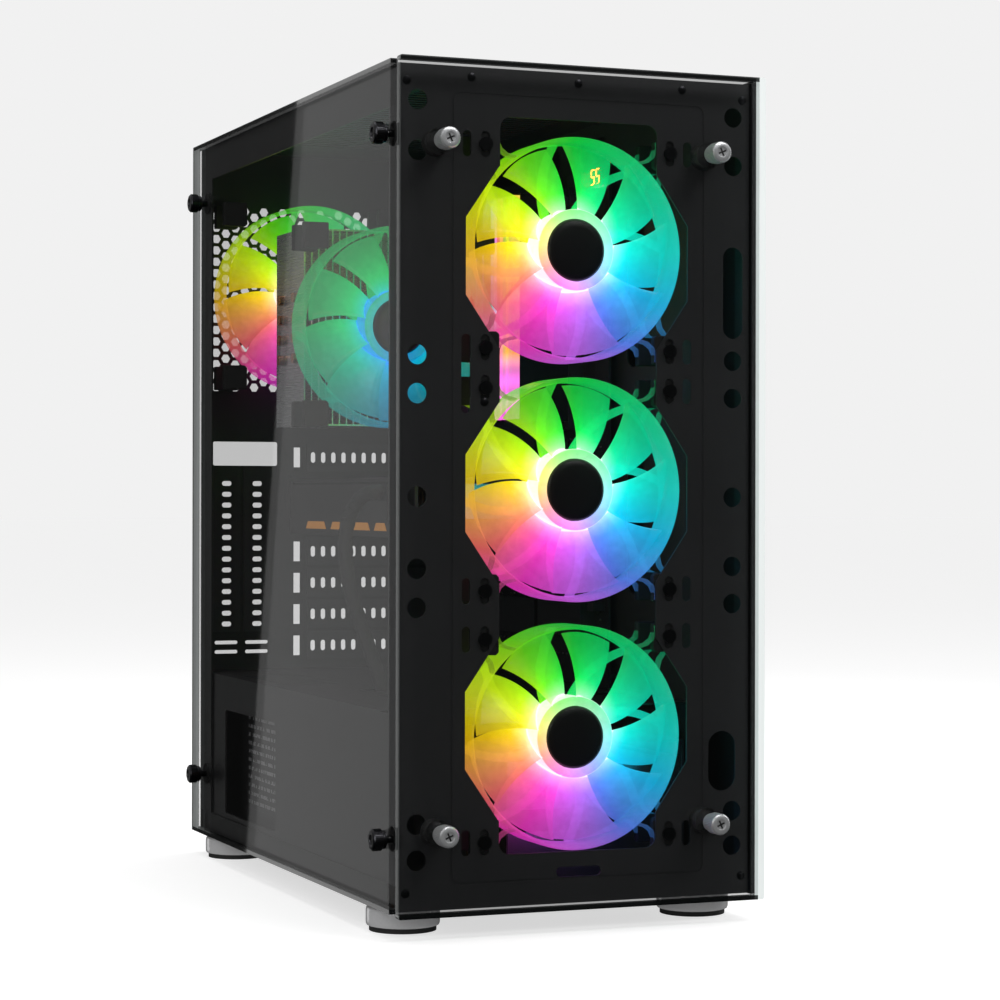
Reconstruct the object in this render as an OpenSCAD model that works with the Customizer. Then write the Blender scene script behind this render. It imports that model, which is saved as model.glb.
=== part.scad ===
// Desktop computer tower: a folded steel case with a tinted glass front and a glass side,
// three lit fans behind the front glass, and a complete computer inside.
// Millimetres. +X is to the right seen from the front, +Y is to the back, +Z is up.
// The origin is at the middle of the overall box, on the surface that the feet stand on.

/* [Glass] */
// Width of the front glass
front_w = 207.3; // [190:0.1:235]
// Height of the front glass
front_h = 438.5; // [425:0.5:500]
// Thickness of both glass panels
glass_t = 4; // [3:0.5:5]
// Space between the front glass and the steel front
front_gap = 8; // [5:0.5:12]
// Step from the front glass's side edge out to the side panels' outer faces
side_proud = 1.6; // [0.5:0.1:3]
// Depth from the front glass's face to the front edge of the side panels
side_setback = 9.3; // [8:0.1:12]
// Thickness of the rubber pads between the side glass and the case
side_pad_t = 1.45; // [1:0.05:3]

/* [Case] */
// Depth from the front glass's face to the outside of the rear wall
case_d = 391; // [385:1:460]
// Thickness of the folded steel sheet
sheet = 1; // [0.8:0.1:1.2]
// Height of the front glass's lower edge above the floor
foot_h = 12.5; // [11:0.5:20]
// Step from the front glass's lower edge up to the underside of the case
base_step = 2; // [1:0.1:4]
// Step from the front glass's upper edge down to the top of the case
top_step = 2.2; // [2:0.1:4]
// Depth of the folded edges beside the front plate
front_flange = 14; // [12:0.5:18]
// Depth of the folded edges beside the rear wall
rear_flange = 24; // [20:0.5:28]
// Height of the folded edges along the top
top_rail = 20; // [14:1:24]
// Height of the folded edges along the base
base_rail = 12; // [8:1:16]
// Distance from the case's middle to the board tray
tray_x = 83.35; // [78:0.05:86]

/* [Feet] */
// Diameter of the feet
foot_d = 39; // [30:0.5:44]
// Thickness of the rubber pads under the feet
pad_t = 2.5; // [1.5:0.5:4]
// Sideways distance between the feet's axes
foot_span_x = 168; // [150:1:176]
// Depth of the front feet's axes
foot_front_y = 48; // [40:1:60]
// Distance from the rear feet's axes to the rear wall
foot_rear_y = 29; // [24:1:50]

/* [Thumbscrews] */
// Diameter of the front glass's thumbscrews
front_screw_d = 11.3; // [9:0.1:14]
// How far they stand out of the front glass
front_screw_h = 13; // [6:0.5:15]
// Distance of the left ones from the front glass's left edge
front_screw_left = 23.2; // [16:0.1:30]
// Distance of the right ones from the front glass's right edge
front_screw_right = 31.8; // [16:0.1:36]
// Distance of the front ones from the glass's upper and lower edges
front_screw_z = 42.5; // [36:0.5:50]
// Diameter of the side glass's thumbscrews
side_screw_d = 11.5; // [9:0.1:14]
// How far they stand out of the side glass
side_screw_h = 7.6; // [5:0.1:10]
// Distance of the side ones from the glass's upper and lower edges
side_screw_z = 37.5; // [30:0.5:45]
// Diameter of all the screws' shanks
shank_d = 4; // [3:0.1:5]
// How far the right panel's thumbscrews stand out at the back
rear_screw_h = 7.5; // [5:0.5:10]

/* [Front plate] */
// Width of the long opening's narrow parts
neck_w = 89.3; // [80:0.1:96]
// Width of the opening across a fan
bulge_w = 126.3; // [122:0.1:140]
// Height of the straight sides beside a fan
bulge_flat = 40; // [30:1:50]
// Height of an opening's bulge at the narrow parts
bulge_h = 94; // [86:1:104]
// Distance between the bulges
bulge_pitch = 122.5; // [118:0.5:126]
// Distance from the opening's top to the front glass's upper edge
neck_top = 27; // [22:0.5:36]
// Distance from the opening's bottom to the front glass's lower edge
neck_bottom = 29; // [24:0.5:36]
// Diameter of the round holes in both outer columns
cable_hole_d = 10.5; // [6:0.5:12]
// Distance of those columns from the middle
cable_hole_x = 89.8; // [80:0.1:92]

/* [Fans] */
// Side of the square case fans
fan_w = 120; // [110:1:122]
// Thickness of the case fans
fan_t = 25; // [20:1:28]
// Distance between the screw holes of a case fan
fan_pitch = 105; // [96:0.5:106]
// Diameter of the fans' hubs
hub_d = 43; // [36:1:50]
// Number of blades of a case fan
fan_blades = 9; // [7:1:11]
// Gap between the blades' tips and the ring around them
tip_gap = 1.3; // [1:0.1:2.5]
// Height of the middle front fan's axis above the front glass's lower edge
front_fan_z = 218.3; // [210:0.1:240]
// Step up to the top front fan's axis
fan_step_up = 126; // [123:0.5:130]
// Step down to the bottom front fan's axis
fan_step_down = 130; // [123:0.5:132]
// Distance of the rear fan's axis from the left edge of the case
rear_fan_x = 66.65; // [62:0.05:72]
// Distance of the rear fan's axis from the top of the case
rear_fan_drop = 94.3; // [84:0.1:110]
// Diameter of a graphics card's fan
card_fan_d = 84; // [70:1:90]

/* [Computer] */
// Height of the circuit board
board_h = 304.8; // [300:0.1:305]
// Depth of the circuit board
board_d = 244; // [240:1:246]
// Thickness of the circuit board
board_t = 1.6; // [1.4:0.1:2]
// Height of the posts that hold the circuit board off the tray
post_h = 5.35; // [4:0.05:7]
// Distance between the expansion slots
slot_pitch = 20.32; // [20:0.01:20.5]
// Number of expansion slots
slot_count = 7; // [7:1:7]
// Height of the lowest slot's middle above the top of the power supply's cover
slot_low = 15.3; // [14:0.1:18]
// Length of the graphics card
card_l = 254; // [230:1:270]
// Thickness of the graphics card
card_t = 34.5; // [32:0.5:38]
// How far the graphics card reaches from the circuit board
card_reach = 120; // [110:1:130]
// Width of the power supply
psu_w = 150; // [140:1:152]
// Height of the power supply
psu_h = 86; // [80:1:88]
// Depth of the power supply
psu_d = 140; // [130:1:160]
// Height of the cover over the power supply, measured from the case's underside
cover_h = 101; // [99:0.5:106]
// Depth of the processor cooler's fins
fin_d = 55; // [40:1:60]
// Number of fins
fin_count = 28; // [20:1:34]
// Diameter of the graphics card's braided power cable
cable_d = 9; // [7:0.5:10]
// Height of the rear sockets' opening
io_h = 159; // [158:0.5:160]
// Length of a memory stick
memory_l = 133.4; // [133:0.1:134]
// Thickness of a memory stick's circuit board
memory_t = 1.2; // [1:0.1:1.4]
// Width of a hard drive
drive_w = 101.6; // [100:0.1:102]
// Length of a hard drive
drive_l = 147; // [140:1:150]
// Thickness of a hard drive
drive_t = 26.1; // [19:0.1:27]

/* [Top and filters] */
// Depth of the top sockets' and buttons' middles behind the front plate
io_back = 16; // [14:0.5:24]
// Sideways place of the power button
power_x = -44; // [-50:1:-40]
// Sideways place of the reset button
reset_x = -22; // [-26:1:-18]
// Radius of the power button
power_r = 7; // [5:0.5:9]
// Radius of the reset button
reset_r = 3.2; // [2:0.1:5]
// Width of a socket in the top
usb_w = 13.4; // [13:0.1:14]
// Height of a socket in the top
usb_h = 5.9; // [5.5:0.1:6.2]
// Distance from the front plate to the top vent
vent_front = 53; // [45:1:70]
// Distance from the top vent to the rear wall
vent_back = 50; // [30:1:80]
// Half the width of the top filter
top_filter_hw = 66; // [64:1:80]
// Half the width of the filter under the power supply
filter_hw = 60; // [50:0.5:62]

/* [Hidden] */
$fn = 64;
e = 0.05;
// Radial clearance of a shaft that turns in a bore
run_fit = 0.05;
// Clearance of a piece that slides in an opening
slide_gap = 0.3;

// Planes of the case
glass_x = -front_w / 2 - side_proud;
hw = -glass_x - glass_t - side_pad_t;
right_x = front_w / 2 + side_proud;
plate_y = glass_t + front_gap;
in_y = plate_y + sheet;
rear_y = case_d - sheet;
base_z = foot_h + base_step;
floor_z = base_z + sheet;
top_z = foot_h + front_h - top_step;
ceil_z = top_z - sheet;
shroud_z = base_z + cover_h;
side_z0 = foot_h + 1.7;
side_z1 = foot_h + front_h - 0.75;
side_y1 = case_d + 0.9;

// The whole is centred on its overall box
fold_t = 1;
row_dx = side_screw_h / 2;
row_dy = (front_screw_h - case_d - fold_t - rear_screw_h) / 2;

// Screws
shank_r = shank_d / 2;
bore_r = shank_r + run_fit;
free_r = shank_r + slide_gap;
front_screws = [for (z = [foot_h + front_h - front_screw_z, foot_h + front_screw_z],
    x = [-front_w / 2 + front_screw_left, front_w / 2 - front_screw_right]) [x, z]];
side_screws = [for (z = [side_z1 - side_screw_z, side_z0 + side_screw_z],
    y = [in_y + 3.2, rear_y - rear_flange + 7.5]) [y, z]];
rear_screws = [for (z = [side_z1 - 50, side_z0 + 46]) [hw - 6.8, z]];

// Fans
fan_x = 0.35;
blade_r = (fan_w - 2) / 2 - 2.5 - tip_gap;
ring_r = blade_r + tip_gap;
shaft_r = 1.5;
front_fans = [for (s = [fan_step_up, 0, -fan_step_down]) foot_h + front_fan_z + s];
bulges = [for (k = [1, 0, -1]) foot_h + front_fan_z - 2 + k * bulge_pitch];
rear_fan_z = top_z - rear_fan_drop;
rear_fan = [-hw + rear_fan_x, rear_fan_z];

// Circuit board and what is on it
board_x1 = tray_x - post_h;
board_x = board_x1 - board_t;
board_y0 = rear_y - 1 - board_d;
board_z0 = shroud_z + 0.6;
board_y1 = board_y0 + board_d;
slot_z = [for (k = [0:slot_count - 1]) shroud_z + slot_low + k * slot_pitch];
card_rows = [4, 5];
pcb_z = slot_z[5] + 2.2;
card_x = board_x - card_reach;
card_y0 = board_y1 - card_l;
card_z0 = pcb_z + board_t + 1.9 - card_t;
socket_y = board_y0 + 111;
socket_z = board_z0 + board_h - 94;
memory_y = [for (k = [0:3]) board_y0 + 41.5 + 9.6 * k];
memory_z0 = board_z0 + 156;
memory_x = board_x - 40;
fin_y0 = socket_y - fin_d / 2;
cooler_fan = [-31.15, socket_z];
fin_x0 = cooler_fan[0] - 51;
fin_x1 = board_x - 20;

// Power supply
psu_x = -hw + 16.15;
psu_z = floor_z + 5;
psu_y = rear_y - psu_d;
psu_fan = [psu_x + psu_w / 2, psu_y + psu_d / 2 - 8];

// Rear sockets, circuit board screws, drives, top sockets and filters
io_z0 = board_z0 + board_h - io_h + 1;
board_holes = [for (y = [board_y1 - 10, board_y1 - 134, board_y0 + 10],
    z = [board_z0 + 6.4, board_z0 + 163.5, board_z0 + board_h - 10.2]) [y, z]];
drive_x = tray_x - 6 - drive_w;
drive_z = [floor_z + 6, floor_z + 44];
vent_y0 = in_y + vent_front;
vent_y1 = rear_y - vent_back;
io_y = in_y + io_back;
usb_x = [2, 24];
jack_x = [42, 54];
filter_y0 = psu_y - 4;
filter_z = base_z - 5;

// Graphics card's fans
card_fans_y = [card_y0 + 56, card_y0 + 166];
card_fan_x = card_x + 49;
card_fan_r = card_fan_d / 2;

// Card cable, from the card's plug down through the cover to the power supply
// The upper points keep their places from the card's corner, the lower ones from the supply's.
card_corner = [card_x, card_y0, pcb_z];
supply_corner = [psu_x, psu_y, psu_z];
from_card = [[-8, 43, -5], [-10, 43, -5], [-12.4, 43.2, -5], [-16.4, 54, -7.6], [-19.4, 66, -18.6],
    [-22.4, 64, -35.6], [-22.4, 58, -56.6]];
from_supply = [[23.65, -58, 135.5], [30.65, -60, 114.5], [36.65, -63, 95.5], [38.65, -60, 81.5],
    [40.65, -46, 69.5], [41.65, -24, 63.5], [41.65, 0, 61.5]];
cable_route = concat([for (p = from_card) card_corner + p], [for (p = from_supply) supply_corner + p]);
plug = cable_route[0];
cover_hole = cable_route[9];

// ---- shapes used by many pieces ----

// A block between two corners
module block(a, b) {
    translate(a) cube(b - a);
}

// An upright sheet facing front, drawn in X and Z, from y to y + t
module sheet_front(y, t) {
    translate([0, y + t, 0]) rotate([90, 0, 0]) linear_extrude(t) children();
}

// An upright sheet facing sideways, drawn in Y and Z, from x to x + t
module sheet_side(x, t) {
    translate([x, 0, 0]) rotate([90, 0, 90]) linear_extrude(t) children();
}

// A level sheet drawn in X and Y, from z to z + t
module sheet_flat(z, t) {
    translate([0, 0, z]) linear_extrude(t) children();
}

module rect(x0, x1, y0, y1) {
    translate([x0, y0]) square([x1 - x0, y1 - y0]);
}

// A rectangle with round corners
module round_rect(x0, x1, y0, y1, r) {
    rect(x0 + r, x1 - r, y0, y1);
    rect(x0, x1, y0 + r, y1 - r);
    for (x = [x0 + r, x1 - r], y = [y0 + r, y1 - r]) translate([x, y]) circle(r, $fn = 24);
}

// An upright slot with round ends
module slot_up(x, y, w, h) {
    rect(x - w / 2, x + w / 2, y - h / 2 + w / 2, y + h / 2 - w / 2);
    for (s = [-1, 1]) translate([x, y + s * (h / 2 - w / 2)]) circle(w / 2, $fn = 24);
}

// A level slot with round ends
module slot_across(x, y, w, h) {
    rotate(90) slot_up(y, -x, h, w);
}

// Six-sided vent holes in staggered columns, kept inside a rectangle
module hex_vent(x0, x1, y0, y1, r, pitch) {
    column = pitch * sqrt(3) / 2;
    for (i = [0:floor((x1 - x0 - 2 * r) / column)]) {
        shift = i % 2 == 0 ? 0 : pitch / 2;
        for (j = [0:floor((y1 - y0 - 2 * r - shift) / pitch)])
            translate([x0 + r + i * column, y0 + r + shift + j * pitch]) circle(r, $fn = 6);
    }
}

// A solid of revolution whose axis runs along +Y from y
module along_y(x, y, z) {
    translate([x, y, z]) rotate([-90, 0, 0]) children();
}

// A solid of revolution whose axis runs along -X from x
module along_minus_x(x, y, z) {
    translate([x, y, z]) rotate([0, -90, 0]) children();
}

// ---- fans, drawn with the intake at z = 0 and the axis along +Z ----

module fan_holes() {
    for (a = [0:90:270]) rotate(a) translate([fan_pitch / 2, fan_pitch / 2]) children();
}

module fan_frame() {
    motor_r = hub_d / 2 - 1;
    lug_r = (fan_w - fan_pitch) / 2 - 0.5;
    difference() {
        union() {
            difference() {
                cylinder(h = fan_t, d = fan_w - 2, $fn = 96);
                translate([0, 0, -1]) cylinder(h = fan_t + 2, r = ring_r, $fn = 96);
            }
            for (z = [0, fan_t - 5]) translate([0, 0, z]) {
                fan_holes() cylinder(h = 5, r = lug_r);
                for (a = [45:90:315]) rotate(a)
                    translate([ring_r + 1, -4, 0]) cube([fan_pitch * sqrt(0.5) - ring_r - 4, 8, 5]);
            }
            translate([0, 0, fan_t - 4]) cylinder(h = 4, r = motor_r);
            for (a = [20:90:290]) rotate(a) translate([motor_r - 1, -2.5, fan_t - 3])
                cube([ring_r - motor_r + 2, 5, 3]);
        }
        fan_holes() translate([0, 0, -1]) cylinder(h = fan_t + 2, r = 2.2);
        translate([0, 0, fan_t - 6]) cylinder(h = 8, r = shaft_r + run_fit);
    }
}

// A hub with flat pitched blades and the shaft that turns in the frame's bearing
module rotor(tip_r, hub_r, h, count, blade_w, tilt, shaft_l) {
    blade_z = h / 2;
    difference() {
        union() {
            cylinder(h = h, r = hub_r);
            intersection() {
                for (i = [0:count - 1]) rotate(i * 360 / count)
                    translate([hub_r - 3, 0, blade_z]) rotate([tilt, 0, 0])
                        translate([0, -blade_w / 2, -0.7]) cube([tip_r - hub_r + 4, blade_w, 1.4]);
                cylinder(h = h, r = tip_r, $fn = 96);
            }
        }
        translate([0, 0, h - 2]) cylinder(h = 3, r = hub_r - 4);
    }
    translate([0, 0, h - 3]) cylinder(h = shaft_l + 3, r = shaft_r);
}

module fan_rotor() {
    translate([0, 0, 2]) rotor(blade_r, hub_d / 2, fan_t - 7.5, fan_blades, 23, 35, 5);
}

module front_fan(z) {
    along_y(fan_x, in_y, z) children();
}

// ---- case ----

module base_pan() color("#1b1c1e") {
    feet_y = [foot_front_y, case_d - foot_rear_y];
    difference() {
        sheet_flat(base_z, sheet) difference() {
            rect(-hw, hw, in_y, rear_y);
            for (x = [-54:9:54], k = [-1:1])
                slot_up(psu_fan[0] + x * 0.98, psu_fan[1] + k * 38, 4.5, 32);
            for (x = [-54:9:54], y = [90, 132]) slot_up(x, y, 4.5, 32);
        }
        for (x = [-1, 1], y = feet_y) translate([x * foot_span_x / 2, y, base_z - 1])
            cylinder(h = sheet + 2, r = 2.2);
    }
    for (s = [-1, 1])
        block([s > 0 ? hw - sheet : -hw, in_y + front_flange + 1, floor_z],
            [s > 0 ? hw : -hw + sheet, rear_y - rear_flange - 1, floor_z + base_rail]);
    // Runners that hold the dust filter under the power supply
    for (s = [-1, 1]) {
        xi = s * (filter_hw + 0.4);
        xo = xi + s * 2;
        block([min(xi, xo), filter_y0, filter_z - 1], [max(xi, xo), rear_y - 4, base_z]);
        xl = xi - s * 3.4;
        block([min(xl, xi), filter_y0, filter_z - 1], [max(xl, xi), rear_y - 4, filter_z]);
    }
}

module opening_outline() {
    cx = fan_x + 0.25;
    z0 = foot_h + neck_bottom;
    z1 = foot_h + front_h - neck_top;
    round_rect(cx - neck_w / 2, cx + neck_w / 2, z0, z1, 6);
    for (z = bulges) translate([fan_x - 0.15, z])
        polygon([for (s = [[1, -1], [1, 1], [-1, 1], [-1, -1]])
            each (s[0] * s[1] < 0 ?
                [[s[0] * neck_w / 2, s[1] * bulge_h / 2], [s[0] * bulge_w / 2, s[1] * bulge_flat / 2]] :
                [[s[0] * bulge_w / 2, s[1] * bulge_flat / 2], [s[0] * neck_w / 2, s[1] * bulge_h / 2]])]);
}

module front_plate() color("#202124") {
    hole_z = [28, 46.5, 157.5, 177.5, 214.5, 267.5, 287.5, 392, 418];
    difference() {
        sheet_front(plate_y, sheet) difference() {
            rect(-hw, hw, base_z, top_z);
            opening_outline();
            for (s = [-1, 1], z = hole_z) translate([fan_x + s * cable_hole_x, foot_h + z])
                circle(d = cable_hole_d, $fn = 32);
            slot_up(fan_x + cable_hole_x, foot_h + 324, 11.5, 49);
            slot_up(fan_x + cable_hole_x - 6, foot_h + 73.5, 16, 32);
            slot_up(fan_x - 63.2, foot_h + 278, 5, 41);
            for (f = front_fans, s = [-1, 1], x = [0, 10.2], z = [-1, 1])
                slot_up(fan_x + s * (fan_pitch / 2 + x), f + z * fan_pitch / 2, 5, 13.5);
            slot_across(fan_x + 0.5, foot_h + 18.4, 25.6, 5.2);
        }
        // Shallow pressed line around the fans
        translate([0, plate_y - 0.7, 0]) sheet_front(0, 1) difference() {
            round_rect(fan_x - 71.5, fan_x + 72.5, foot_h + 14.5, foot_h + 423, 5);
            round_rect(fan_x - 70.3, fan_x + 71.3, foot_h + 15.7, foot_h + 421.8, 4);
        }
        for (s = front_screws) along_y(s[0], plate_y - 1, s[1]) cylinder(h = sheet + 2, r = free_r);
    }
    for (s = [-1, 1]) difference() {
        block([s > 0 ? hw - sheet : -hw, in_y, floor_z + base_rail],
            [s > 0 ? hw : -hw + sheet, in_y + front_flange, ceil_z - top_rail]);
        if (s < 0) for (p = side_screws) if (p[0] < rear_y / 2)
            along_minus_x(-hw + sheet + 1, p[0], p[1]) cylinder(h = sheet + 2, r = free_r);
    }
}

module rear_wall() color("#1c1d20") {
    vent_half = fan_w / 2;
    rx = rear_fan[0];
    col_x = [-hw + 16.55, -hw + 36.85];
    difference() {
        sheet_front(rear_y, sheet) difference() {
            rect(-hw, hw, base_z, top_z);
            hex_vent(rx - vent_half, rx + vent_half - 1, rear_fan_z - vent_half,
                rear_fan_z + vent_half, 3, 7.3);
            // Power supply, rear sockets, card slots
            rect(psu_x + 4, psu_x + psu_w - 4, psu_z + 4, psu_z + psu_h - 4);
            rect(board_x - 43, board_x + 1, io_z0, io_z0 + io_h);
            for (z = slot_z) {
                rect(-hw + 71.5, board_x - 12, z - 6.3, z + 6.3);
                rect(-hw + 61.6, -hw + 66.1, z - 6.4, z + 6.4);
            }
            for (x = col_x) rect(x - 5.5, x + 5.5, slot_z[0] + 11, slot_z[0] + 114);
            round_rect(-hw + 7.5, -hw + 50.6, foot_h + 234.6, foot_h + 250, 1.5);
            for (x = col_x, z = [102.5, 108.5]) slot_across(x, foot_h + z + 12.5, 15.3, 2.3);
        }
        for (s = rear_screws) along_y(s[0], rear_y - 1, s[1]) cylinder(h = sheet + 2, r = free_r);
        along_y(rx, rear_y - 1, rear_fan_z) fan_holes() cylinder(h = sheet + 2, r = 2.2);
    }
    for (s = [-1, 1]) difference() {
        block([s > 0 ? hw - sheet : -hw, rear_y - rear_flange, floor_z + base_rail],
            [s > 0 ? hw : -hw + sheet, rear_y, ceil_z - top_rail]);
        if (s < 0) for (p = side_screws) if (p[0] > rear_y / 2)
            along_minus_x(-hw + sheet + 1, p[0], p[1]) cylinder(h = sheet + 2, r = free_r);
    }
}

module top_panel() color("#1b1c1e") {
    sheet_flat(ceil_z, sheet) difference() {
        rect(-hw, hw, in_y, rear_y);
        for (k = [-1:1], y = [vent_y0 + 4:8:vent_y1 - 4]) slot_across(k * 41, y, 37, 4.4);
        for (x = usb_x) rect(x - usb_w / 2, x + usb_w / 2, io_y - usb_h / 2, io_y + usb_h / 2);
        for (x = jack_x) translate([x, io_y]) circle(d = 6.6, $fn = 32);
        translate([power_x, io_y]) circle(r = power_r + slide_gap);
        translate([reset_x, io_y]) circle(r = reset_r + slide_gap);
    }
    for (s = [-1, 1])
        block([s > 0 ? hw - sheet : -hw, in_y, ceil_z - top_rail],
            [s > 0 ? hw : -hw + sheet, rear_y, ceil_z]);
}

module board_tray() color("#191a1c") {
    z_mid = (board_z0 + ceil_z) / 2;
    sheet_side(tray_x, sheet) difference() {
        rect(in_y + 30, rear_y, floor_z, ceil_z);
        round_rect(board_y0 - 34, board_y0 - 10, z_mid - 110, z_mid - 20, 8);
        round_rect(board_y0 - 34, board_y0 - 10, z_mid + 20, z_mid + 110, 8);
        round_rect(socket_y - 55, socket_y + 55, socket_z - 38, socket_z + 50, 10);
        for (y = [board_y0 + 40, board_y0 + 110, board_y0 + 180])
            round_rect(y - 20, y + 20, board_z0 + board_h + 5, board_z0 + board_h + 19, 5);
        for (y = [board_y0 - 60, board_y0 + 60]) round_rect(y - 25, y + 25, floor_z + 60, floor_z + 85, 6);
    }
    for (p = board_holes) along_minus_x(tray_x, p[0], p[1]) cylinder(h = post_h, d = 6, $fn = 6);
}

module psu_cover() color("#222326") {
    x0 = -hw + sheet + 0.4;
    win_y = psu_y - 19;
    sheet_side(x0, sheet) difference() {
        rect(in_y + 18, rear_y, floor_z, shroud_z - sheet);
        round_rect(win_y, win_y + 107, base_z + 16, base_z + 80, 2);
    }
    sheet_flat(shroud_z - sheet, sheet) difference() {
        rect(x0, tray_x, in_y + fan_t + 4, rear_y);
        for (k = [0:1], y = [96:9:150]) slot_across(-40 + k * 62, y, 48, 4);
        for (x = [-70, 20], y = [250:10:330]) slot_across(x, y, 36, 4);
        translate([cover_hole[0], cover_hole[1]]) circle(r = cable_d / 2 + 9);
        round_rect(40, 74, 110, 132, 6);
    }
}

module feet() color("#d9dbde") {
    for (s = [-1, 1], y = [foot_front_y, case_d - foot_rear_y]) translate([s * foot_span_x / 2, y, 0])
        difference() {
            union() {
                translate([0, 0, pad_t]) cylinder(h = base_z - pad_t - 1.5, d = foot_d, $fn = 96);
                translate([0, 0, base_z - 1.5]) cylinder(h = 1.5, d = foot_d - 8, $fn = 96);
            }
            translate([0, 0, base_z - 6]) cylinder(h = 7, r = 2.2);
        }
}

module foot_pads() color("#101010") {
    for (s = [-1, 1], y = [foot_front_y, case_d - foot_rear_y]) translate([s * foot_span_x / 2, y, 0])
        cylinder(h = pad_t, d = foot_d - 3.5);
}

module glass_standoffs() color("#141414") {
    for (s = front_screws) along_y(s[0], glass_t, s[1]) difference() {
        cylinder(h = front_gap, d = 14);
        translate([0, 0, -1]) cylinder(h = front_gap + 2, r = free_r);
    }
    for (p = side_screws) along_minus_x(-hw, p[0], p[1]) difference() {
        cylinder(h = side_pad_t, d = 13);
        translate([0, 0, -1]) cylinder(h = side_pad_t + 2, r = free_r);
    }
}

module slot_covers() color("#26272a") {
    t = 1;
    for (k = [0:slot_count - 1]) if (k != card_rows[0] && k != card_rows[1])
        sheet_front(rear_y - t, t) difference() {
            rect(-hw + 70.2, board_x - 10, slot_z[k] - 9, slot_z[k] + 9);
            for (i = [0:9]) slot_up(-hw + 74.5 + i * 6.94, slot_z[k], 3.2, 6.9);
        }
    for (x = [-hw + 16.55, -hw + 36.85]) sheet_front(rear_y - t, t) difference() {
        rect(x - 9, x + 9, slot_z[0] + 9.5, slot_z[0] + 115.5);
        for (i = [0:13]) slot_across(x, slot_z[0] + 14.6 + i * 6.94, 6.4, 3.1);
    }
}

module io_shield() color("#9aa0a6") {
    sheet_front(rear_y - 1, 1) difference() {
        rect(board_x - 44, board_x - 0.5, io_z0 - 1, io_z0 + io_h + 1);
        for (k = [0:2]) rect(board_x - 34, board_x - 20, io_z0 + 10 + k * 22, io_z0 + 26 + k * 22);
        for (k = [0:3]) rect(board_x - 19, board_x - 5, io_z0 + 76 + k * 19, io_z0 + 91 + k * 19);
        for (k = [0:2]) translate([board_x - 12, io_z0 + 14 + k * 16]) circle(r = 4, $fn = 32);
    }
}

// ---- circuit board ----

module motherboard() color("#15171b") {
    sheet_side(board_x, board_t) difference() {
        rect(board_y0, board_y1, board_z0, board_z0 + board_h);
        for (p = board_holes) translate(p) circle(r = 2, $fn = 24);
    }
}

module board_heatsinks() color("#3a3d42") {
    top = board_z0 + board_h;
    // Finned blocks beside the processor
    difference() {
        block([board_x - 26, board_y1 - 58, socket_z - 46], [board_x, board_y1 - 26, socket_z + 56]);
        for (z = [socket_z - 40:8:socket_z + 50])
            block([board_x - 27, board_y1 - 60, z], [board_x - 6, board_y1 - 20, z + 3]);
    }
    difference() {
        block([board_x - 24, socket_y - 34, top - 30], [board_x, socket_y + 48, top - 10]);
        for (y = [socket_y - 28:8:socket_y + 42])
            block([board_x - 25, y, top - 31], [board_x - 6, y + 3, top]);
    }
    // Plate over the chipset and two long drive plates
    block([board_x - 9, board_y0 + 20, board_z0 + 30], [board_x, board_y0 + 86, board_z0 + 92]);
    block([board_x - 7, board_y0 + 96, board_z0 + 136], [board_x, board_y0 + 196, board_z0 + 158]);
    block([board_x - 7, board_y0 + 96, board_z0 + 27], [board_x, board_y0 + 196, board_z0 + 49]);
}

module board_sockets() color("#2b2d31") {
    // Card slots
    difference() {
        block([board_x - 11, board_y1 - 140, pcb_z - 3], [board_x, board_y1 - 50, pcb_z + board_t + 3]);
        block([board_x - 12, board_y1 - 138, pcb_z - e], [board_x - 2, board_y1 - 52, pcb_z + board_t + e]);
    }
    for (k = [0, 2]) difference() {
        block([board_x - 11, board_y1 - 140, slot_z[k]],
            [board_x, board_y1 - (k == 0 ? 112 : 50), slot_z[k] + 7.6]);
        block([board_x - 12, board_y1 - 138, slot_z[k] + 3],
            [board_x - 2, board_y1 - (k == 0 ? 114 : 52), slot_z[k] + 4.6]);
    }
    // Memory sockets with open tops
    for (y = memory_y) difference() {
        block([board_x - 9, y - 3.3, memory_z0 - 5], [board_x, y + 3.3, memory_z0 + memory_l + 5]);
        block([board_x - 10, y - memory_t / 2, memory_z0],
            [board_x - 3, y + memory_t / 2, memory_z0 + memory_l]);
    }
    // Processor socket, board power socket, code display
    block([board_x - 4.4, socket_y - 25, socket_z - 25], [board_x, socket_y + 25, socket_z + 25]);
    block([board_x - 12, board_y0 + 3, board_z0 + 196], [board_x, board_y0 + 14, board_z0 + 248]);
    block([board_x - 7, board_y0 + 26, board_z0 + board_h - 14],
        [board_x, board_y0 + 46, board_z0 + board_h - 3]);
    // Block of rear sockets
    block([board_x - 30, board_y1 - 22, io_z0 + 74], [board_x, board_y1 - 2, io_z0 + 150]);
}

module memory_sticks() color("#1a1b1e") {
    for (y = memory_y) {
        block([memory_x, y - memory_t / 2, memory_z0],
            [board_x - 3, y + memory_t / 2, memory_z0 + memory_l]);
        for (s = [-1, 1])
            block([memory_x, s > 0 ? y + memory_t / 2 : y - memory_t / 2 - 2, memory_z0],
                [board_x - 9, s > 0 ? y + memory_t / 2 + 2 : y - memory_t / 2, memory_z0 + memory_l]);
    }
}

module memory_light_bars() color("#ff4fb0") {
    for (y = memory_y)
        block([memory_x - 5, y - 2.6, memory_z0 + 1], [memory_x, y + 2.6, memory_z0 + memory_l - 1]);
}

// ---- processor cooler ----

module pipes(x0, x1, r) {
    for (y = [-14, 14], z = [-18, -6, 6, 18])
        along_minus_x(x1, socket_y + y, socket_z + z) cylinder(h = x1 - x0, r = r, $fn = 32);
}

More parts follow.
